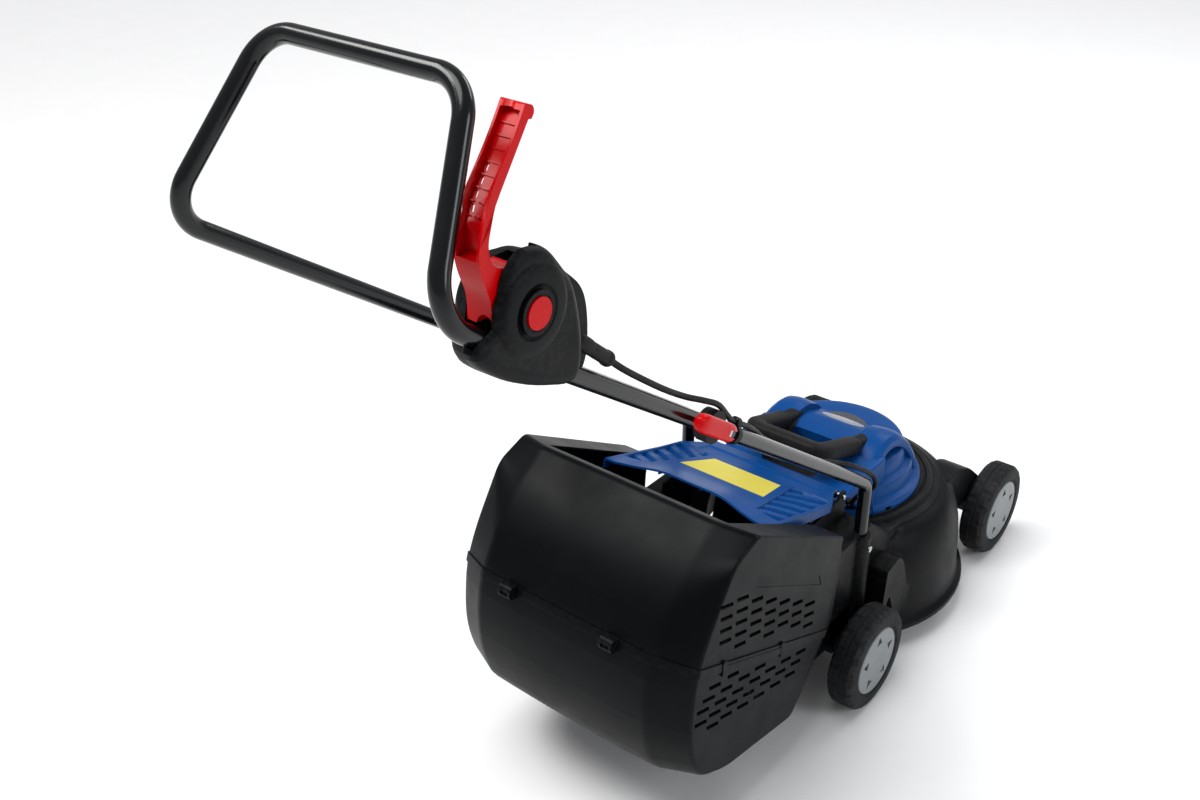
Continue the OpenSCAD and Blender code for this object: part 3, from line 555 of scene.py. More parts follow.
def make_grass_box():
    shell = take(box_form(0), box_form(-BOX_WALL), box_mouth(), vent_slots(), label_panels())
    lower = twin(shell)
    upper = take(shell, below_seam(SEAM_GAP))
    lower = take(lower, above_seam(-SEAM_GAP))
    band = take(box_form(1.7), box_form(-0.8), above_seam(3), below_seam(-9), box_mouth())
    rear = Solid()
    for x in CLIP_X:
        outline = rounded([(-392, 282), (-401, 284), (-403.4, 289), (-402, 297), (-398, 300), (-388, 298)],
                          [1, 2, 2, 2, 2, 1], 3, True)
        rear.prism(outline, x, x + CLIP_WIDTH)
    for side in (-1, 1):
        for y in HOOK_Y:
            z = seam_z(y)
            hook = [(y + 5, z - 17), (y - 5, z - 13), (y - 5, z + 6), (y - 1, z + 7), (y + 5, z + 2)]
            rear.prism(hook, *span(side, BOX_HALF - 0.6, BOX_HALF + 2.9))
        near, far = HOOK_Y[0] + 5, HOOK_Y[1] - 5
        tongue = [(y, seam_z(y) - d) for y, d in ((near, 11), (far, 11), (far, 1), (near, 1))]
        rear.prism(tongue, *span(side, BOX_HALF - 0.6, BOX_HALF + 2.4))
    windows = Solid()
    for x in CLIP_X:
        windows.prism([(-420, 289), (-401, 289), (-401, 294), (-420, 294)], x + 4, x + 14)
    clips = take(form(rear), windows)
    settle(soft(upper, 0.45, 2, 50), "box_upper", "box_plastic", "grass_box", ["box_upper_shell"])
    settle(soft(lower, 0.45, 2, 50), "box_lower", "box_plastic", "grass_box", ["box_lower_shell"])
    settle(soft(band, 0.5, 2), "box_seam_band", "box_plastic", "grass_box")
    settle(soft(clips, 0.6, 2), "box_snap_clips", "box_plastic", "grass_box", ["box_clips"])


# ---------------- discharge flap
FLAP_PITCH = math.radians(-18.3)
FLAP_LENGTH = 222
FLAP_WALL = 2.6
HINGE_Y, HINGE_Z = 44, 262
RIB_PITCH = 27.0


def at_hinge(p):
    c, s = math.cos(FLAP_PITCH), math.sin(FLAP_PITCH)
    return (p[0], HINGE_Y + p[1] * c - p[2] * s, HINGE_Z + p[1] * s + p[2] * c)


def flap_half(y):
    """Half the flap's width at one place along it."""
    line = [(0, 94), (-20, 98), (-58, 117), (-FLAP_LENGTH, 120.6)]
    for (y0, w0), (y1, w1) in zip(line, line[1:]):
        if y >= y1:
            return w0 + (w1 - w0) * (y0 - y) / (y0 - y1)
    return line[-1][1]


def in_patch(x, y):
    """How far inside the sunk side patch a point is, from 0 to 1."""
    lo = 62 + 0.16 * (-y - 60)
    hi = 111
    side = smoothstep(lo - 2, lo, abs(x)) * (1 - smoothstep(hi, hi + 2, abs(x)))
    return side * smoothstep(58, 61, -y) * (1 - smoothstep(186, 189, -y))


def flap_height(x, y):
    ax = abs(x)
    wave = 7 * smoothstep(150, 222, -y) * (1 - smoothstep(28, 96, ax))
    fold = -2.2 * smoothstep(86, 112, ax) * smoothstep(40, 120, -y)
    patch = in_patch(x, y)
    along = (-y - 72) + 0.7 * (ax - 64)
    beat = along / RIB_PITCH
    ridge = smoothstep(0.30, 0.36, beat % 1.0) * (1 - smoothstep(0.84, 0.90, beat % 1.0))
    inner = smoothstep(0.5, 1.0, patch)
    step = 1.4 * smoothstep(28, 31, -y) * (1 - smoothstep(58, 62, -y)) * (1 - smoothstep(84, 90, ax))
    return 7 + wave + fold - 5.4 * patch + 4.2 * ridge * inner - step


def make_flap():
    across, along = 200, 150
    grid = []
    for j in range(along + 1):
        s = j / along
        row = []
        for i in range(across + 1):
            t = 2 * i / across - 1
            y = -2 - s * (FLAP_LENGTH - 2)
            half = flap_half(y)
            x = half * t
            y += 13.5 * s ** 6 * (1 - smoothstep(36, 104, abs(x)))
            z = flap_height(x, y)
            edge = half - abs(x)
            if edge < 2.2:
                z -= 2.2 - math.sqrt(max(0.0, 2.2 ** 2 - (2.2 - edge) ** 2))
            row.append((x, y, z))
        drop = 11 * smoothstep(16, 60, -y)
        left, right = row[0], row[-1]
        grid.append([(left[0], left[1], left[2] - drop), *row, (right[0], right[1], right[2] - drop)])
    top = Solid().loft(grid, False, False, closed=False)
    flap = form(moved(top, at_hinge))
    middle = flap.data.polygons[len(flap.data.polygons) // 2]
    thicken(flap, FLAP_WALL, -1.0 if middle.normal.z > 0 else 1.0)
    settle(flap, "flap_panel", "blue_plastic", "discharge_flap", ["rear_flap"], 40)
    barrel = Solid()
    for x0, x1 in ((-94, -47), (-29, 29), (47, 94)):
        barrel.lathe([(3.1, x0), (6, x0), (6, x1), (3.1, x1)], (0, 0, 0), 40, "x")
    for x in (-60, 0, 60):
        barrel.prism([(-6, -1), (-FLAP_LENGTH + 34, -1), (-FLAP_LENGTH + 34, 5), (-6, 5)], x - 1, x + 1)
    underside = form(moved(barrel, at_hinge))
    settle(soft(underside, 0.4, 2), "flap_barrel_and_ribs", "blue_plastic", "discharge_flap")
    label = []
    for j in range(19):
        y = -74.5 - 64 * j / 18
        half = 50 + 12 * j / 18
        label.append([(half * (i / 12 - 1), y, flap_height(half * (i / 12 - 1), y) + 0.3) for i in range(25)])
    film = form(moved(Solid().loft(label, False, False, closed=False), at_hinge))
    thicken(film, 0.3)
    settle(film, "flap_yellow_label", "label_yellow", "discharge_flap", ["flap_label"])


# ---------------- motor cover
CROWN = [(96, 190), (96, 248), (148, 257.5), (168, 262), (202, 262.5), (214, 258.5), (240, 249.5), (262, 240),
         (290, 215), (311, 190)]
CROWN_RADII = [1, 4, 8, 20, 18, 12, 12, 20, 22, 2]
CROWN_HALF = 58
COVER_Y = 200
WELL_DEPTH = 244
GRIP_SQUARE = 0.62  # power of the handle's section: 1 is an ellipse, 0 a box


def crown_z(y):
    line = CROWN[1:-1]
    for (y0, z0), (y1, z1) in zip(line, line[1:]):
        if y <= y1:
            return z0 + (z1 - z0) * (y - y0) / (y1 - y0)
    return line[-1][1]


def make_arch():
    """One cheek: a fender-like band over the stepped side of the cover."""
    rings = []
    for k in range(49):
        a = math.radians(-4 + 188 * k / 48)
        up = max(0.0, math.sin(a))
        outer = 105.5 - 13 * up ** 1.4
        reach = 70 + 14 * up ** 0.8
        rim = 64 + 7 * up
        cy, cz = 194 - 2 * math.cos(a), 188
        section = [(48, 52), (48, reach - 1.5), (60, reach), (66, reach + 0.4), (76, reach),
                   (85, reach - 1.8), (outer - 5, reach - 4.6), (outer - 1.4, reach - 7.4), (outer, rim),
                   (outer - 1.2, rim - 4.5), (outer - 5, rim - 7), (70, rim - 9), (60, 52)]
        rings.append([(x, cy + r * math.cos(a), cz + r * math.sin(a)) for x, r in section])
    return form(Solid().loft(rings))


def make_cover():
    tiers = [(0, 186), (123.6, 186), (124.6, 188.5), (124.2, 194), (122, 197.4), (115, 199.6),
             (112.6, 202), (112, 208), (111.6, 214), (109.4, 218.4), (103, 221), (100.4, 223.6),
             (99.6, 230), (98.6, 237), (96, 241.6), (88, 244), (70, 246), (0, 247)]
    body = form(Solid().lathe(tiers, (0, COVER_Y, 0), 128))
    stations = [(CROWN_HALF, 1.5)] + [(x, 0) for x in (56, 44, 30, 15)]
    stations += [(0, 0)] + [(-x, d) for x, d in stations[::-1]]
    rings = [[(x, y, z - 1.6 * (x / CROWN_HALF) ** 2 * smoothstep(200, 240, z))
              for y, z in rounded(shrink(CROWN, d), CROWN_RADII, 5, True)] for x, d in stations]
    crown = form(Solid().loft(rings))
    rear_outline = [(52.3, 231), (52.6, 241), (62, 248), (84, 254), (120, 257), (170, 257), (170, 190),
                    (126, 190), (78, 231)]
    rear = form(Solid().loft(crossed(rear_outline, -98, 98, 4, 4, [1, 3, 7, 20, 20, 2, 2, 4, 2])))
    for other in (crown, rear):
        combine(body, other)
    arch = make_arch()
    for cheek in (arch, flip_x(arch)):
        combine(body, cheek)
    hollow = form(Solid().lathe([(0, 180), (118, 180), (106, 208), (92, 228), (58, 236), (0, 238)],
                                (0, COVER_Y, 0), 96))
    well = rounded([(-42, 72), (42, 72), (44, 160), (-44, 160)], [9] * 4, 5, True)
    pocket = Solid().loft([[(*p, z) for p in well] for z in (WELL_DEPTH, 290)])
    chute_room = Solid().prism([(40, 150), (40, 229.5), (61, 229.5), (121, 181.5), (126, 150)], -141, 141)
    notches = Solid()
    for side in (-1, 1):
        for turn in (-21, 21):
            a = math.radians(turn) if side > 0 else math.pi - math.radians(turn)
            cx, cy = 123 * math.cos(a), COVER_Y + 123 * math.sin(a)
            notches.add(*box_at(cx, cy, 188, 22, 9, 9, a))
    take(body, hollow, pocket, chute_room, notches)
    soft(body, 0.8, 2, 48)
    settle(body, "motor_cover_shell", "blue_plastic", "chassis", ["motor_cover"], 32)


def box_at(cx, cy, cz, dx, dy, dz, turn):
    """Corners and faces of a box turned about the upright axis."""
    c, s = math.cos(turn), math.sin(turn)
    verts = []
    for z in (-dz / 2, dz / 2):
        for x, y in ((-dx / 2, -dy / 2), (dx / 2, -dy / 2), (dx / 2, dy / 2), (-dx / 2, dy / 2)):
            verts.append((cx + x * c - y * s, cy + x * s + y * c, cz + z))
    faces = [(3, 2, 1, 0), (4, 5, 6, 7), (0, 1, 5, 4), (1, 2, 6, 5), (2, 3, 7, 6), (3, 0, 4, 7)]
    return verts, faces


def make_grip():
    """The dark carry handle with the trim it grows out of, and a black sheet in the finger well that stands
    for painted shade.
    """
    path = bent_path([(56, 190, 261), (55, 152, 268), (53, 66, 296.5), (-53, 66, 296.5), (-55, 152, 268),
                      (-56, 190, 261)], 18, 8)
    total = len(path) - 1
    rings = []
    bar = Solid()
    for i, p in enumerate(path):
        near = min(i, total - i) / total
        bulk = smoothstep(0.06, 0.2, near)
        half_w, half_h = 10.0 + 3.4 * bulk, 8.0 + 3.4 * bulk
        t = (path[min(i + 1, total)] - path[max(i - 1, 0)]).normalized()
        side = t.cross(Vector((0, -0.3, -0.95))).normalized()
        top = side.cross(t)
        ring = []
        for k in range(28):
            a = LOOP * k / 28
            c, s = math.cos(a), math.sin(a)
            across, up = (math.copysign(abs(v) ** GRIP_SQUARE, v) for v in (c, s))
            ring.append(p + side * half_w * across + top * half_h * up)
        rings.append(ring)
    bar.loft(rings)
    grip = form(bar)
    plates = Solid()
    for side in (1, -1):
        upper, lower = [], []
        for k in range(15):
            y = 138 + 70 * k / 14
            inner = 40 + 19 * smoothstep(160, 208, y)
            row = [side * (inner + (61 - inner) * i / 8) for i in range(9)]
            upper.append([(x, y, crown_z(y) + 1.3) for x in row])
        n = len(upper)
        for k in range(n):
            lower.append([(x, y, z - 6) for x, y, z in upper[k]][::-1])
        plates.loft([u + l for u, l in zip(upper, lower)])
    trim = form(plates)
    combine(grip, trim)
    soft(grip, 0.7, 2, 45)
    settle(grip, "carry_grip", "grey_plastic", "chassis", ["carry_handle"], 35)
    ribs = Solid()
    rib = [(0, -6.5), (1.6, -6.5), (2.2, -5), (2.2, 5), (1.6, 6.5), (0, 6.5)]
    for k in range(9):
        y = 84 + 7 * k
        for side in (1, -1):
            x = side * (53 + 2 * (y - 66) / 84)
            z = 295.5 - 28 * (y - 66) / 84
            ribs.lathe(rib, (x, y, z - 7.2), 14, "x")
    settle(form(ribs), "carry_grip_ribs", "grey_plastic", "chassis")
    # Painted shade: a black sheet over the blue floor of the finger well, standing for the shadow in that
    # gap.
    well = rounded([(-41.5, 72.5), (41.5, 72.5), (43.5, 159.5), (-43.5, 159.5)], [9] * 4, 5, True)
    rings = [[(p[0] * k, 116 + (p[1] - 116) * k, z) for p in well] for k, z in ((1, 245.4), (0.985, 243.6))]
    settle(form(Solid().loft(rings)), "finger_well_painted_shade", "black_plastic", "chassis")
    badge = []
    for k in range(6):
        r = 1 - k / 5
        ring = [(33 * r * c, 224 + 13.5 * r * s) for c, s in circle(1, 48)]
        badge.append([(x, y, crown_z(y) - 0.2 + 1.5 * (1 - r ** 4)) for x, y in ring])
    film = form(Solid().loft(badge, False, False))
    settle(film, "crown_badge_blank", "silver_film", "chassis", ["cover_inlay"])


# ---------------- deck
DECK_Y = 210
WHEEL_R, WHEEL_HALF = 70, 18.5
FRONT_Y = 420
REAR_TRACK, FRONT_TRACK = 398, 356
REAR_FACE = [(-66, 262), (-84, 160), (-149, 72)]
POST_X, POST_Y = 135.6, 37.6


def bowl(profile):
    return form(Solid().lathe(profile, (0, DECK_Y, 0), 160))


def block(outline, x0, x1, edge=0.0):
    if edge:
        return form(Solid().loft(crossed(outline, x0, x1, edge, 3)))
    return form(Solid().prism(outline, x0, x1))


def make_deck():
    outer = [(0, 32), (197, 32), (197.4, 34), (197, 38.2), (195, 40.6), (190.6, 43), (188.8, 46),
             (187.6, 60), (184.6, 100), (181.6, 124), (178.2, 139), (173.4, 153), (166, 165.4), (158, 171),
             (152.6, 172.8), (149.6, 175), (148, 176), (142, 177), (139.4, 178.6), (138.2, 182.6),
             (136.6, 184.4), (130.6, 185), (129, 183.4), (127.4, 183.4), (126, 185.4), (0, 187.4)]
    inner = [(0, 26), (192, 26), (190.2, 36), (184.6, 41.5), (178.4, 120), (170, 150), (160, 164),
             (146, 170), (134, 174), (130, 180), (0, 183.6)]
    deck = bowl(outer)
    rear = [(-110, 228), (60, 228), (84, 209), (120, 180), (160, 176), (160, 70), (20, 70), (-151, 84),
            (-88, 160)]
    rear_block = block(rear, -140, 140, 6)
    behind = [(-300, 40), (-170, 40), *REAR_FACE[::-1], (-66, 300), (-300, 300)]
    face = Solid().prism(behind, -220, 220)
    take(rear_block, face)
    combine(deck, rear_block)
    for side in (1, -1):
        flange = REAR_FACE + [(-134, 72), (-66, 160), (-58, 228), (-56, 262)]
        combine(deck, soft(block(flange, *span(side, 136, 160)), 1.2, 2))
        tower = [(0, 100), (15.6, 100), (14.9, 214), (14.6, 220.8), (13.2, 222.8), (0, 222.8)]
        combine(deck, Solid().lathe(tower, (side * POST_X, POST_Y, 0), 48))
        foot = [(24, 228), (36, 229), (58, 226), (66, 206), (64, 150), (58, 104), (20, 104), (14, 150),
                (14, 200)]
        combine(deck, soft(block(foot, *span(side, 128, 139)), 1.5, 2))
        gusset = rounded([(66, 158), (96, 166), (110, 154), (150, 56), (147, 42), (112, 42), (84, 104),
                          (80, 111), (74, 104), (68, 56), (60, 56), (62, 110)],
                         [3, 8, 10, 6, 3, 3, 6, 3, 3, 3, 3, 6], 3, True)
        combine(deck, soft(block(gusset, *span(side, 134, 168)), 1.2, 2))
        shoulder = rounded([(290, 150), (296, 170), (336, 171), (368, 158), (430, 106), (442, 86),
                            (440, 58), (416, 52), (396, 60), (380, 96), (330, 96)],
                           [4, 8, 14, 20, 12, 6, 6, 6, 10, 12, 6], 4, True)
        combine(deck, soft(block(shoulder, *span(side, 96, 138)), 2.4, 3))
        x0, x1 = span(side, 120, 160.5)
        combine(deck, Solid().lathe(rod(13, x0, x1), (0, 0, WHEEL_R), 40, "x"))
        combine(deck, block([(-30, 120), (30, 120), (14, 60), (-14, 60)], *span(side, 120, 140)))
        cheek = [(-70, 220), (-64, 254), (34, 262), (38, 268), (50, 268), (51, 220)]
        combine(deck, soft(block(cheek, *span(side, 99, 104)), 0.8, 2))
    room = [(-125, 224.5), (58, 224.5), (82, 206), (118, 176), (157, 170), (157, 84), (20, 84), (-151, 84),
            (-92, 158)]
    chute = [(-240, 88), (46, 88), (46, 320), (-240, 320)]
    take(deck, bowl(inner), block(room, -136.5, 136.5), block(chute, -99, 99))
    baffle = [(40, 76), (47, 76), (66, 158), (66, 168), (60, 168)]
    combine(deck, soft(block(baffle, -101, 101), 1.2, 2))
    for y in (0, FRONT_Y):
        take(deck, Solid().lathe(rod(5.05, -230, 230), (0, y, WHEEL_R), 32, "x"))
    bores = Solid()
    for x in (POST_X, -POST_X):
        bores.lathe(rod(8.6, 118, 260), (x, POST_Y, 0), 40)
    bores.lathe(rod(26, 120, 260), (0, DECK_Y, 0), 48)
    take(deck, bores)
    soft(deck, 0.7, 2, 50)
    settle(deck, "deck_moulding", "black_plastic", "chassis", ["deck"], 32)


# ---------------- wheels
def tyre_profile():
    """Closed (radius, across) outline of the wheel; across is outward from the middle."""
    half = [(WHEEL_R - 1, 1.0), (WHEEL_R, 1.8), (WHEEL_R, 5.4), (WHEEL_R, 9), (WHEEL_R, 12.2)]
    crown = [(r, -w) for r, w in half[::-1]] + half
    return [(14, -18.5), (14, -2), (57, -2), (57, -18.5), (62.5, -18.5), (66.8, -16.8), *crown, (66.8, 16.8),
            (62.5, 18.5), (51.6, 18.5), (50.2, 17.6), (47.4, 17.2), (47.3, 13), (26, 13), (26, 7), (5.1, 7),
            (5.1, -18.5)]


def make_wheel(name, side, track, y, body):
    profile = tyre_profile()
    wheel = Solid()
    centre = side * (track / 2 - WHEEL_HALF)
    steps, pitch, groove = 216, 12, 3
    rings = []
    for k in range(steps):
        a = LOOP * k / steps
        ring = []
        for r, w in profile:
            shift = pitch // 2 if w > 0 else 0
            gap = (k + shift) % pitch < groove
            if abs(w) > 5 and r > 66 and gap:
                r -= 1.1
            ring.append((centre + side * w, y + r * math.cos(a), WHEEL_R + r * math.sin(a)))
        rings.append(ring)
    rings.append(rings[0])
    wheel.loft(rings, False, False)
    settle(form(wheel), name + "_tyre", "tyre_plastic", body, [name], 30)
    cap = Solid().lathe([(0, 12.6), (46.6, 12.6), (46.6, 16.4), (45.8, 17.7), (43.6, 18.2), (20, 18.4),
                         (0, 18.4)], (0, 0, 0), 96, "x")
    disc = form(moved(cap, lambda v: (centre + side * v.x, y + v.y, WHEEL_R + v.z)))
    cuts = Solid()
    for k in range(5):
        a = LOOP * k / 5 + 0.32
        c, s = math.cos(a), math.sin(a)
        shape = [(27, -6.4), (27, 6.4), (39.5, 0)]
        deep, low = [], []
        for u, v in shape:
            depth = 13.4 if u < 30 else 17.2
            py, pz = y + u * c - v * s, WHEEL_R + u * s + v * c
            low.append((centre + side * depth, py, pz))
            deep.append((centre + side * 22, py, pz))
        cuts.loft([low, deep])
    take(disc, cuts)
    soft(disc, 0.4, 2, 40)
    cap_node = name.replace("wheel", "hub_cap")
    settle(disc, cap_node + "_disc", "hub_grey", body, [cap_node], 30)


def make_wheels():
    for end, track, y in (("rear", REAR_TRACK, 0), ("front", FRONT_TRACK, FRONT_Y)):
        for side, hand in ((1, "right"), (-1, "left")):
            make_wheel(f"{end}_wheel_{hand}", side, track, y, f"wheel_{end}_{hand}")


# ---------------- handle
ARM_RISE, ARM_RUN, ARM_SPLAY = 0.576, 0.817, 0.018
FOLD_S = 454
LOOP_S = 898
TUBE_R, TUBE_WALL = 8.5, 1.5
LOOP_BEND = 39
LOOP_TOP = Vector((109, -604.6, 956.3))


def arm(s, up=0.0, out=0.0):
    return Vector((POST_X + ARM_SPLAY * s + out, POST_Y - ARM_RUN * s + ARM_RISE * up,
                   299 + ARM_RISE * s + ARM_RUN * up))


def at_fold(p):
    """Y up the arm, Z square to it, from the fold joint."""
    f = arm(FOLD_S)
    return (f.x + p[0], f.y - p[1] * ARM_RUN + p[2] * ARM_RISE, f.z + p[1] * ARM_RISE + p[2] * ARM_RUN)


def hollow_tube(path, radius, wall, sides=36):
    tube = Solid().tube(path, radius, sides, caps=False)
    inner = Solid().tube(path, radius - wall, sides, caps=False)
    n = len(tube.verts)
    tube.add(inner.verts, inner.faces)
    last = n - sides
    for base in (0, last):
        for k in range(sides):
            a, b = base + k, base + (k + 1) % sides
            tube.faces.append((a, b, n + b, n + a))
    return form(tube)


def make_tubes():
    for side, hand in ((1, "right"), (-1, "left")):
        path = bent_path([(POST_X, POST_Y, 120), (POST_X, POST_Y, 299), arm(FOLD_S - 34)], 22, 14)
        path = [Vector((side * p[0], p[1], p[2])) for p in path]
        settle(hollow_tube(path, TUBE_R, TUBE_WALL), f"lower_tube_{hand}_smooth", "tube_paint", "chassis",
               [f"lower_tube_{hand}"], 40)
    low, high, start = arm(LOOP_S), LOOP_TOP, arm(FOLD_S + 34)
    corners = [start, low, high] + [Vector((-p.x, p.y, p.z)) for p in (high, low, start)]
    loop = hollow_tube(bent_path(corners, LOOP_BEND, 22), TUBE_R, TUBE_WALL)
    settle(loop, "upper_handle_smooth", "tube_paint", "handle_top", ["upper_handle"], 40)


def make_cam_levers():
    lever = Solid()
    rings = []
    for k in range(37):
        y = -11.5 + 78.5 * k / 36
        ends = min(1.0, math.sqrt(max(0.0, 1 - ((y - 27.8) / 39.6) ** 6)) + 0.02)
        half_w, half_h = 6.9 * ends ** 0.8 + 0.15, 9.6 * ends
        cx = 21.2 + 0.9 * smoothstep(20, 67, y)
        rings.append([(cx + half_w * math.copysign(abs(math.cos(a)) ** 0.7, math.cos(a)), y,
                       half_h * math.copysign(abs(math.sin(a)) ** 0.8, math.sin(a)))
                      for a in (LOOP * i / 32 for i in range(32))])
    lever.loft(rings)
    body = form(moved(lever, at_fold))
    slit = Solid().prism([(-30, -3.5), (8, -3.5), (8, 3.5), (-30, 3.5)], -10, 60)
    back = Solid().prism([(13, -6.6), (52, -6.6), (52, 6.6), (13, 6.6)], 5, 18.6)
    hole = Solid().loft([[(19 + x, y, z) for x, y in circle(2.56, 24)] for z in (-14, 14)])
    for tool in (slit, back, hole):
        take(body, moved(tool, at_fold))
    soft(body, 0.5, 2, 45)
    for piece, hand in ((body, "right"), (flip_x(body), "left")):
        settle(piece, f"cam_lever_{hand}_smooth", "red_plastic", f"clamp_{hand}", [f"cam_lever_{hand}"], 35)


# ---------------- switch box
DRUM = (-606, 794)
SWITCH_OUTLINE = [(-638, 795), (-640, 817), (-632, 836), (-619, 846), (-603, 845), (-584, 837),
                  (-571, 820), (-556, 800), (-549, 770), (-546, 740), (-550, 716), (-563, 711),
                  (-603, 727), (-633, 744), (-661, 766), (-672, 784)]
INNER_OUTLINE = [(-644, 794), (-640, 809), (-630, 821), (-614, 829), (-596, 831), (-578, 826),
                 (-562, 813), (-546, 798), (-534, 787), (-526, 772), (-523, 750), (-524, 722),
                 (-530, 708), (-542, 700), (-566, 709), (-603, 727), (-633, 744), (-647, 757), (-650, 775)]
LEVER_X = 145.5
LEVER_GAP = 13.5
SQUEEZE = 16
CABLE_R = 3.1


def switch_ring(x, inset, outline=SWITCH_OUTLINE):
    return [(x, *p) for p in rounded(shrink(outline, inset), [12] * len(outline), 3, True)]


def lever_gap_tools():
    gap = [(0, 0), (16, 60), (-60, 60), (-60, -11), (-22, -11)]
    gap = [(DRUM[0] + y, DRUM[1] + z) for y, z in gap]
    yield Solid().prism(gap, LEVER_X - LEVER_GAP, LEVER_X + LEVER_GAP)
    yield Solid().lathe(rod(37.4, LEVER_X - LEVER_GAP, LEVER_X + LEVER_GAP),
                        (0, *DRUM), 72, "x")


def make_switch_box():
    stations = [(150.2, 1.4), (150.6, 0.4), (151.4, 0), (157, 0.2), (160.5, 1.2), (163, 3.2), (164.8, 6.2),
                (165.4, 9.6)]
    outer = form(Solid().loft([switch_ring(x, d) for x, d in stations]))
    boss = [(0, 150.4), (37.5, 150.4), (39.4, 152), (39.6, 160), (38.4, 164.4), (35.4, 167.4), (31, 168.6),
            (22.6, 168.8), (21, 167.6), (19.4, 166.8), (0, 166.8)]
    combine(outer, Solid().lathe(boss, (0, *DRUM), 96, "x"))
    stations = [(116, 9), (116.8, 5.4), (119, 2), (123, 0), (130, -0.6), (145, -0.4), (148.4, 0.6),
                (149.6, 2.4)]
    inner = form(Solid().loft([switch_ring(x, d, INNER_OUTLINE) for x, d in stations]))
    drum = [(0, 117), (32, 117), (35, 118.6), (36.6, 122), (37, 130), (37, 149.4), (0, 149.4)]
    combine(inner, Solid().lathe(drum, (0, *DRUM), 96, "x"))
    for obj in (outer, inner):
        for tool in lever_gap_tools():
            take(obj, tool)
        take(obj, Solid().tube([arm(690), arm(890)], 8.56, 40))
        take(obj, Solid().tube([arm(750, 29.5), arm(704, 25.4)], 6.3, 24))
    take(outer, Solid().lathe(rod(18.1, 163.9, 175), (0, *DRUM), 64, "x"),
         Solid().lathe(rod(13.5, 158, 175), (0, *DRUM), 48, "x"))
    take(inner, Solid().lathe(rod(13.1, 100, 125), (0, -575, 745), 40, "x"))
    soft(outer, 0.6, 2, 45)
    soft(inner, 0.6, 2, 45)
    settle(outer, "switch_box_outer_half", "black_plastic", "handle_top", ["switch_box_outer"], 34)
    settle(inner, "switch_box_inner_half", "black_plastic", "handle_top", ["switch_box_inner"], 34)


def at_lever(p):
    """Z along the lever from the drum axis; it leans inward with height."""
    tilt = math.radians(-51.3)
    c, s = math.cos(tilt), math.sin(tilt)
    lean = 0.257 * max(0.0, p[2]) * smoothstep(0, 40, p[2])
    return (LEVER_X + p[0] - lean, DRUM[0] + p[1] * c - p[2] * s, DRUM[1] + p[1] * s + p[2] * c)


def thick(outline, x0, x1, steps=10):
    """A side outline as several layers, so that it can be bent after."""
    return [[(x0 + (x1 - x0) * k / steps, *p) for p in outline] for k in range(steps + 1)]


def dense(outline, length=3.0):
    out = []
    for i, p in enumerate(outline):
        q = outline[(i + 1) % len(outline)]
        n = max(1, int(math.dist(p, q) / length))
        out += [lerp(p, q, k / n) for k in range(n)]
    return out


def make_switch_lever():
    arc = sweep(34.4, 231, 157, -4)
    outline = [(-36, 15.5), (-52, 2.2), (-66, 5), (-75.8, 15), (-76.8, 40), (-75.8, 74), (-75, 111),
               (-71.6, 113), (-71.4, 119.6), (-75.4, 122.6), (-84.6, 117.6), (-83.8, 84), (-85.4, 60),
               (-86.8, 40), (-86.8, 24), (-82, 9), (-73, -3.5), (-57, -11.5), (-40, -16), (-25.5, -26.5)]
    radii = [1, 16, 24, 24, 40, 40, 1.5, 1.5, 2, 3, 2, 30, 30, 20, 18, 14, 14, 16, 16, 1]
    smooth_side = [tuple(p) for p in rounded(outline, radii, 5, True)]
    side_wall = dense(smooth_side + arc, 3.0)
    lever = form(Solid().loft(thick(side_wall, -12.2, 12.2)))
    pocket = [(-78, 112), (-78.6, 74), (-79.6, 40), (-78.6, 18), (-71, 7.5), (-66, 4), (-76, -14),
              (-120, -14), (-120, 109), (-86, 109), (-81, 115)]
    take(lever, Solid().loft(thick(dense(pocket, 4.0), -9.8, 9.8)))
    ribs = Solid()
    for k in range(8):
        z = 24 + 11 * k
        front = -78.4 - 1.2 * smoothstep(80, 40, z)
        rib = [(front + 1, z), (front - 0.9, z), (front - 0.9, z + 1.2), (front + 1, z + 1.2)]
        ribs.loft(thick(dense(rib, 3), -10, 10, 4))
    combine(lever, ribs)
    slots = Solid()
    for k in range(4):
        z = 28 + 11 * k
        slots.loft(thick([(-90, z), (-70, z), (-70, z + 6), (-90, z + 6)], -7.6, -4.6, 2))
    take(lever, slots)
    hub = circle(11.9, 40)
    combine(lever, Solid().loft(thick(hub, -10, 10, 2)))
    link = [(0, 9), (-20, 12), (-36, 13), (-50, 1), (-54, -9), (-38, -15), (-25, -25), (-10, -10)]
    combine(lever, Solid().loft(thick(link, -8, 8, 2)))
    saddle = sweep(37, 150, 236, 4) + sweep(33.6, 234, 148, -4)
    combine(lever, Solid().loft(thick(saddle, -12.8, 12.8, 2)))
    pin_hole = circle(3.56, 24)
    take(lever, Solid().loft(thick(pin_hole, -30, 30, 1)))
    for v in lever.data.vertices:
        p = Vector((v.co.x * 1000, v.co.y * 1000 - AXLE_Y, v.co.z * 1000))
        v.co = place(at_lever(p))
    loop = bent_path([arm(690), arm(LOOP_S), LOOP_TOP], LOOP_BEND, 8)
    pivot = Vector((0, *DRUM))
    for a in range(0, SQUEEZE + 1, 2):
        turn = Matrix.Rotation(math.radians(-a), 3, "X")
        take(lever, Solid().tube([pivot + turn @ (p - pivot) for p in loop], 9.35, 28))
    soft(lever, 0.7, 2, 40)
    settle(lever, "switch_lever_channel", "red_plastic", "bail_lever", ["switch_lever"], 35)


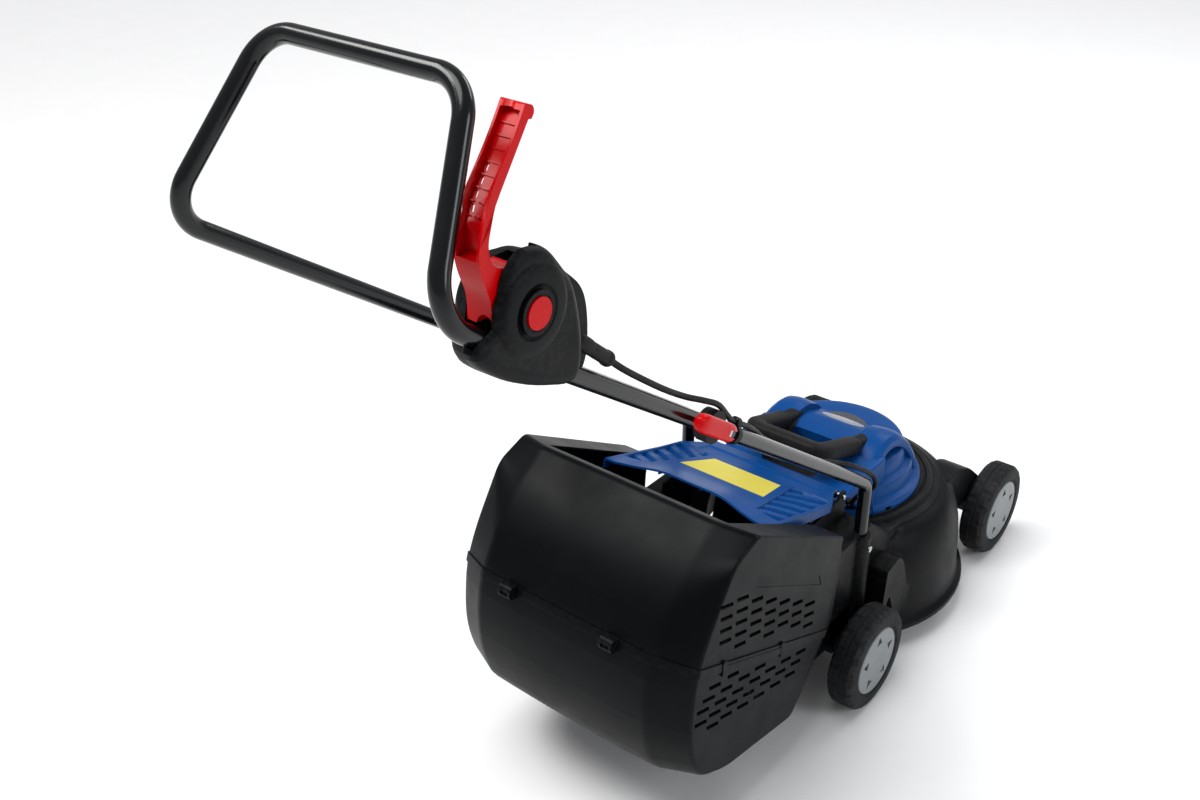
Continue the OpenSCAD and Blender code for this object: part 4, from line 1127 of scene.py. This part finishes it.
# ---------------- motor cable
def make_cable():
    fold_route = [arm(668, 22), arm(640, 19), arm(600, 17), arm(560, 16), arm(520, 17), arm(485, 20),
                  arm(454, 21.5), arm(430, 16), arm(418, 12.5)]
    lower_route = [arm(418, 12.5), arm(396, 12.2), arm(372, 12.2, -2), arm(340, 10.4, -7),
                   arm(300, 6, -11.2), arm(220, 5, -11.6), arm(140, 6, -11.2), arm(100, 10, -8),
                   arm(70, 13.6, -3), arm(40, 14.4, 1), (140.5, 36.5, 316), (142, 47, 304),
                   (141.5, 51.8, 291), (134, 53, 280), (123, 55, 269), (113, 60, 256),
                   (106.6, 65.5, 244.5), (104.6, 67.4, 240.6), (103.1, 68, 240)]
    fold = form(Solid().tube(catmull(fold_route, 8), CABLE_R, 20))
    settle(fold, "cable_at_fold", "rubber", None, ["cable_fold"])
    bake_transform(fold)
    lower = form(Solid().tube(catmull(lower_route, 8), CABLE_R, 20))
    settle(lower, "cable_down_arm", "rubber", "chassis", ["cable_lower"])
    # The boot is smooth; its piece keeps the name it first had.
    a, b = arm(745, 29), arm(668, 22)
    length = (a - b).length
    profile = [(4.6, 0), (6.9, 1.2), (7.2, 2.4), (7.2, 6), (6.7, 7.4), (6.4, 9), (6.4, 34), (6.9, 36),
               (7.1, 40), (7.1, 56), (5.8, 58), (5.6, length)]
    axis = (a - b).normalized()
    boot = Solid()
    side = axis.cross(Vector((0, 0, 1))).normalized()
    top = side.cross(axis)
    boot.loft([[b + axis * d + r * (side * c + top * s) for c, s in circle(1, 28)] for r, d in profile])
    settle(form(boot), "cable_boot_ribbed", "rubber", "handle_top", ["cable_boot"], 40)


# ---------------- camera, light and floor
EYE = (762.3, -1270.4, 1233.2)
EYE_TURN, EYE_DIP = 0.678, 0.523  # radians
LENS, SENSOR = 40.57, 36.0
FLOOR_HALF = 45.0  # metres


def make_stage():
    scene = bpy.context.scene
    camera_data = bpy.data.cameras.new("camera")
    camera_data.lens = LENS
    camera_data.sensor_width = SENSOR
    camera = new_object("camera", camera_data)
    scene.camera = camera
    camera.matrix_world = (Matrix.Translation(place(EYE)) @ Matrix.Rotation(EYE_TURN, 4, "Z")
                           @ Matrix.Rotation(math.pi / 2 - EYE_DIP, 4, "X"))

    def area(name, spot, target, size, power, colour=(1, 1, 1)):
        data = bpy.data.lights.new(name, "AREA")
        data.shape = "RECTANGLE"
        data.size, data.size_y = size
        data.energy = power
        data.color = colour
        lamp = new_object(name, data)
        lamp.location = spot
        lamp.rotation_euler = (Vector(target) - Vector(spot)).to_track_quat("-Z", "Y").to_euler()

    centre = (0, 0, 0.35)
    area("key", (-1.5, -1.1, 2.7), centre, (1.3, 0.9), 42, (1.0, 0.99, 0.97))
    area("side", (2.9, 0.5, 1.7), centre, (0.9, 1.6), 26, (0.96, 0.98, 1.0))
    area("back", (0.2, 2.9, 2.3), centre, (2.2, 0.7), 26)
    sun_data = bpy.data.lights.new("overhead", "SUN")
    sun_data.energy = 1.9
    sun_data.angle = math.radians(38)
    sun = new_object("overhead", sun_data)
    sun.rotation_euler = (math.radians(14), math.radians(-12), 0)
    world = bpy.data.worlds.new("studio")
    scene.world = world
    world.use_nodes = True
    back = world.node_tree.nodes["Background"]
    back.inputs["Color"].default_value = (0.93, 0.94, 0.96, 1)
    back.inputs["Strength"].default_value = 0.38
    mesh = bpy.data.meshes.new("floor")
    corners = [(x * FLOOR_HALF, y * FLOOR_HALF, 0) for x, y in ((-1, -1), (1, -1), (1, 1), (-1, 1))]
    mesh.from_pydata(corners, [], [(0, 1, 2, 3)])
    floor = new_object("floor", mesh)
    mesh.materials.append(node_material("floor_paper", (0.86, 0.86, 0.865), 0.9, mottle=0.01))
    scene.view_settings.view_transform = "Standard"
    scene.view_settings.look = "None"


MATERIALS = {slot: node_material(slot, **look) for slot, look in LOOKS.items()}
dress_cad_nodes()
make_grass_box()
make_flap()
make_cover()
make_grip()
make_deck()
make_wheels()
make_tubes()
make_cam_levers()
make_switch_box()
make_switch_lever()
make_cable()
make_stage()
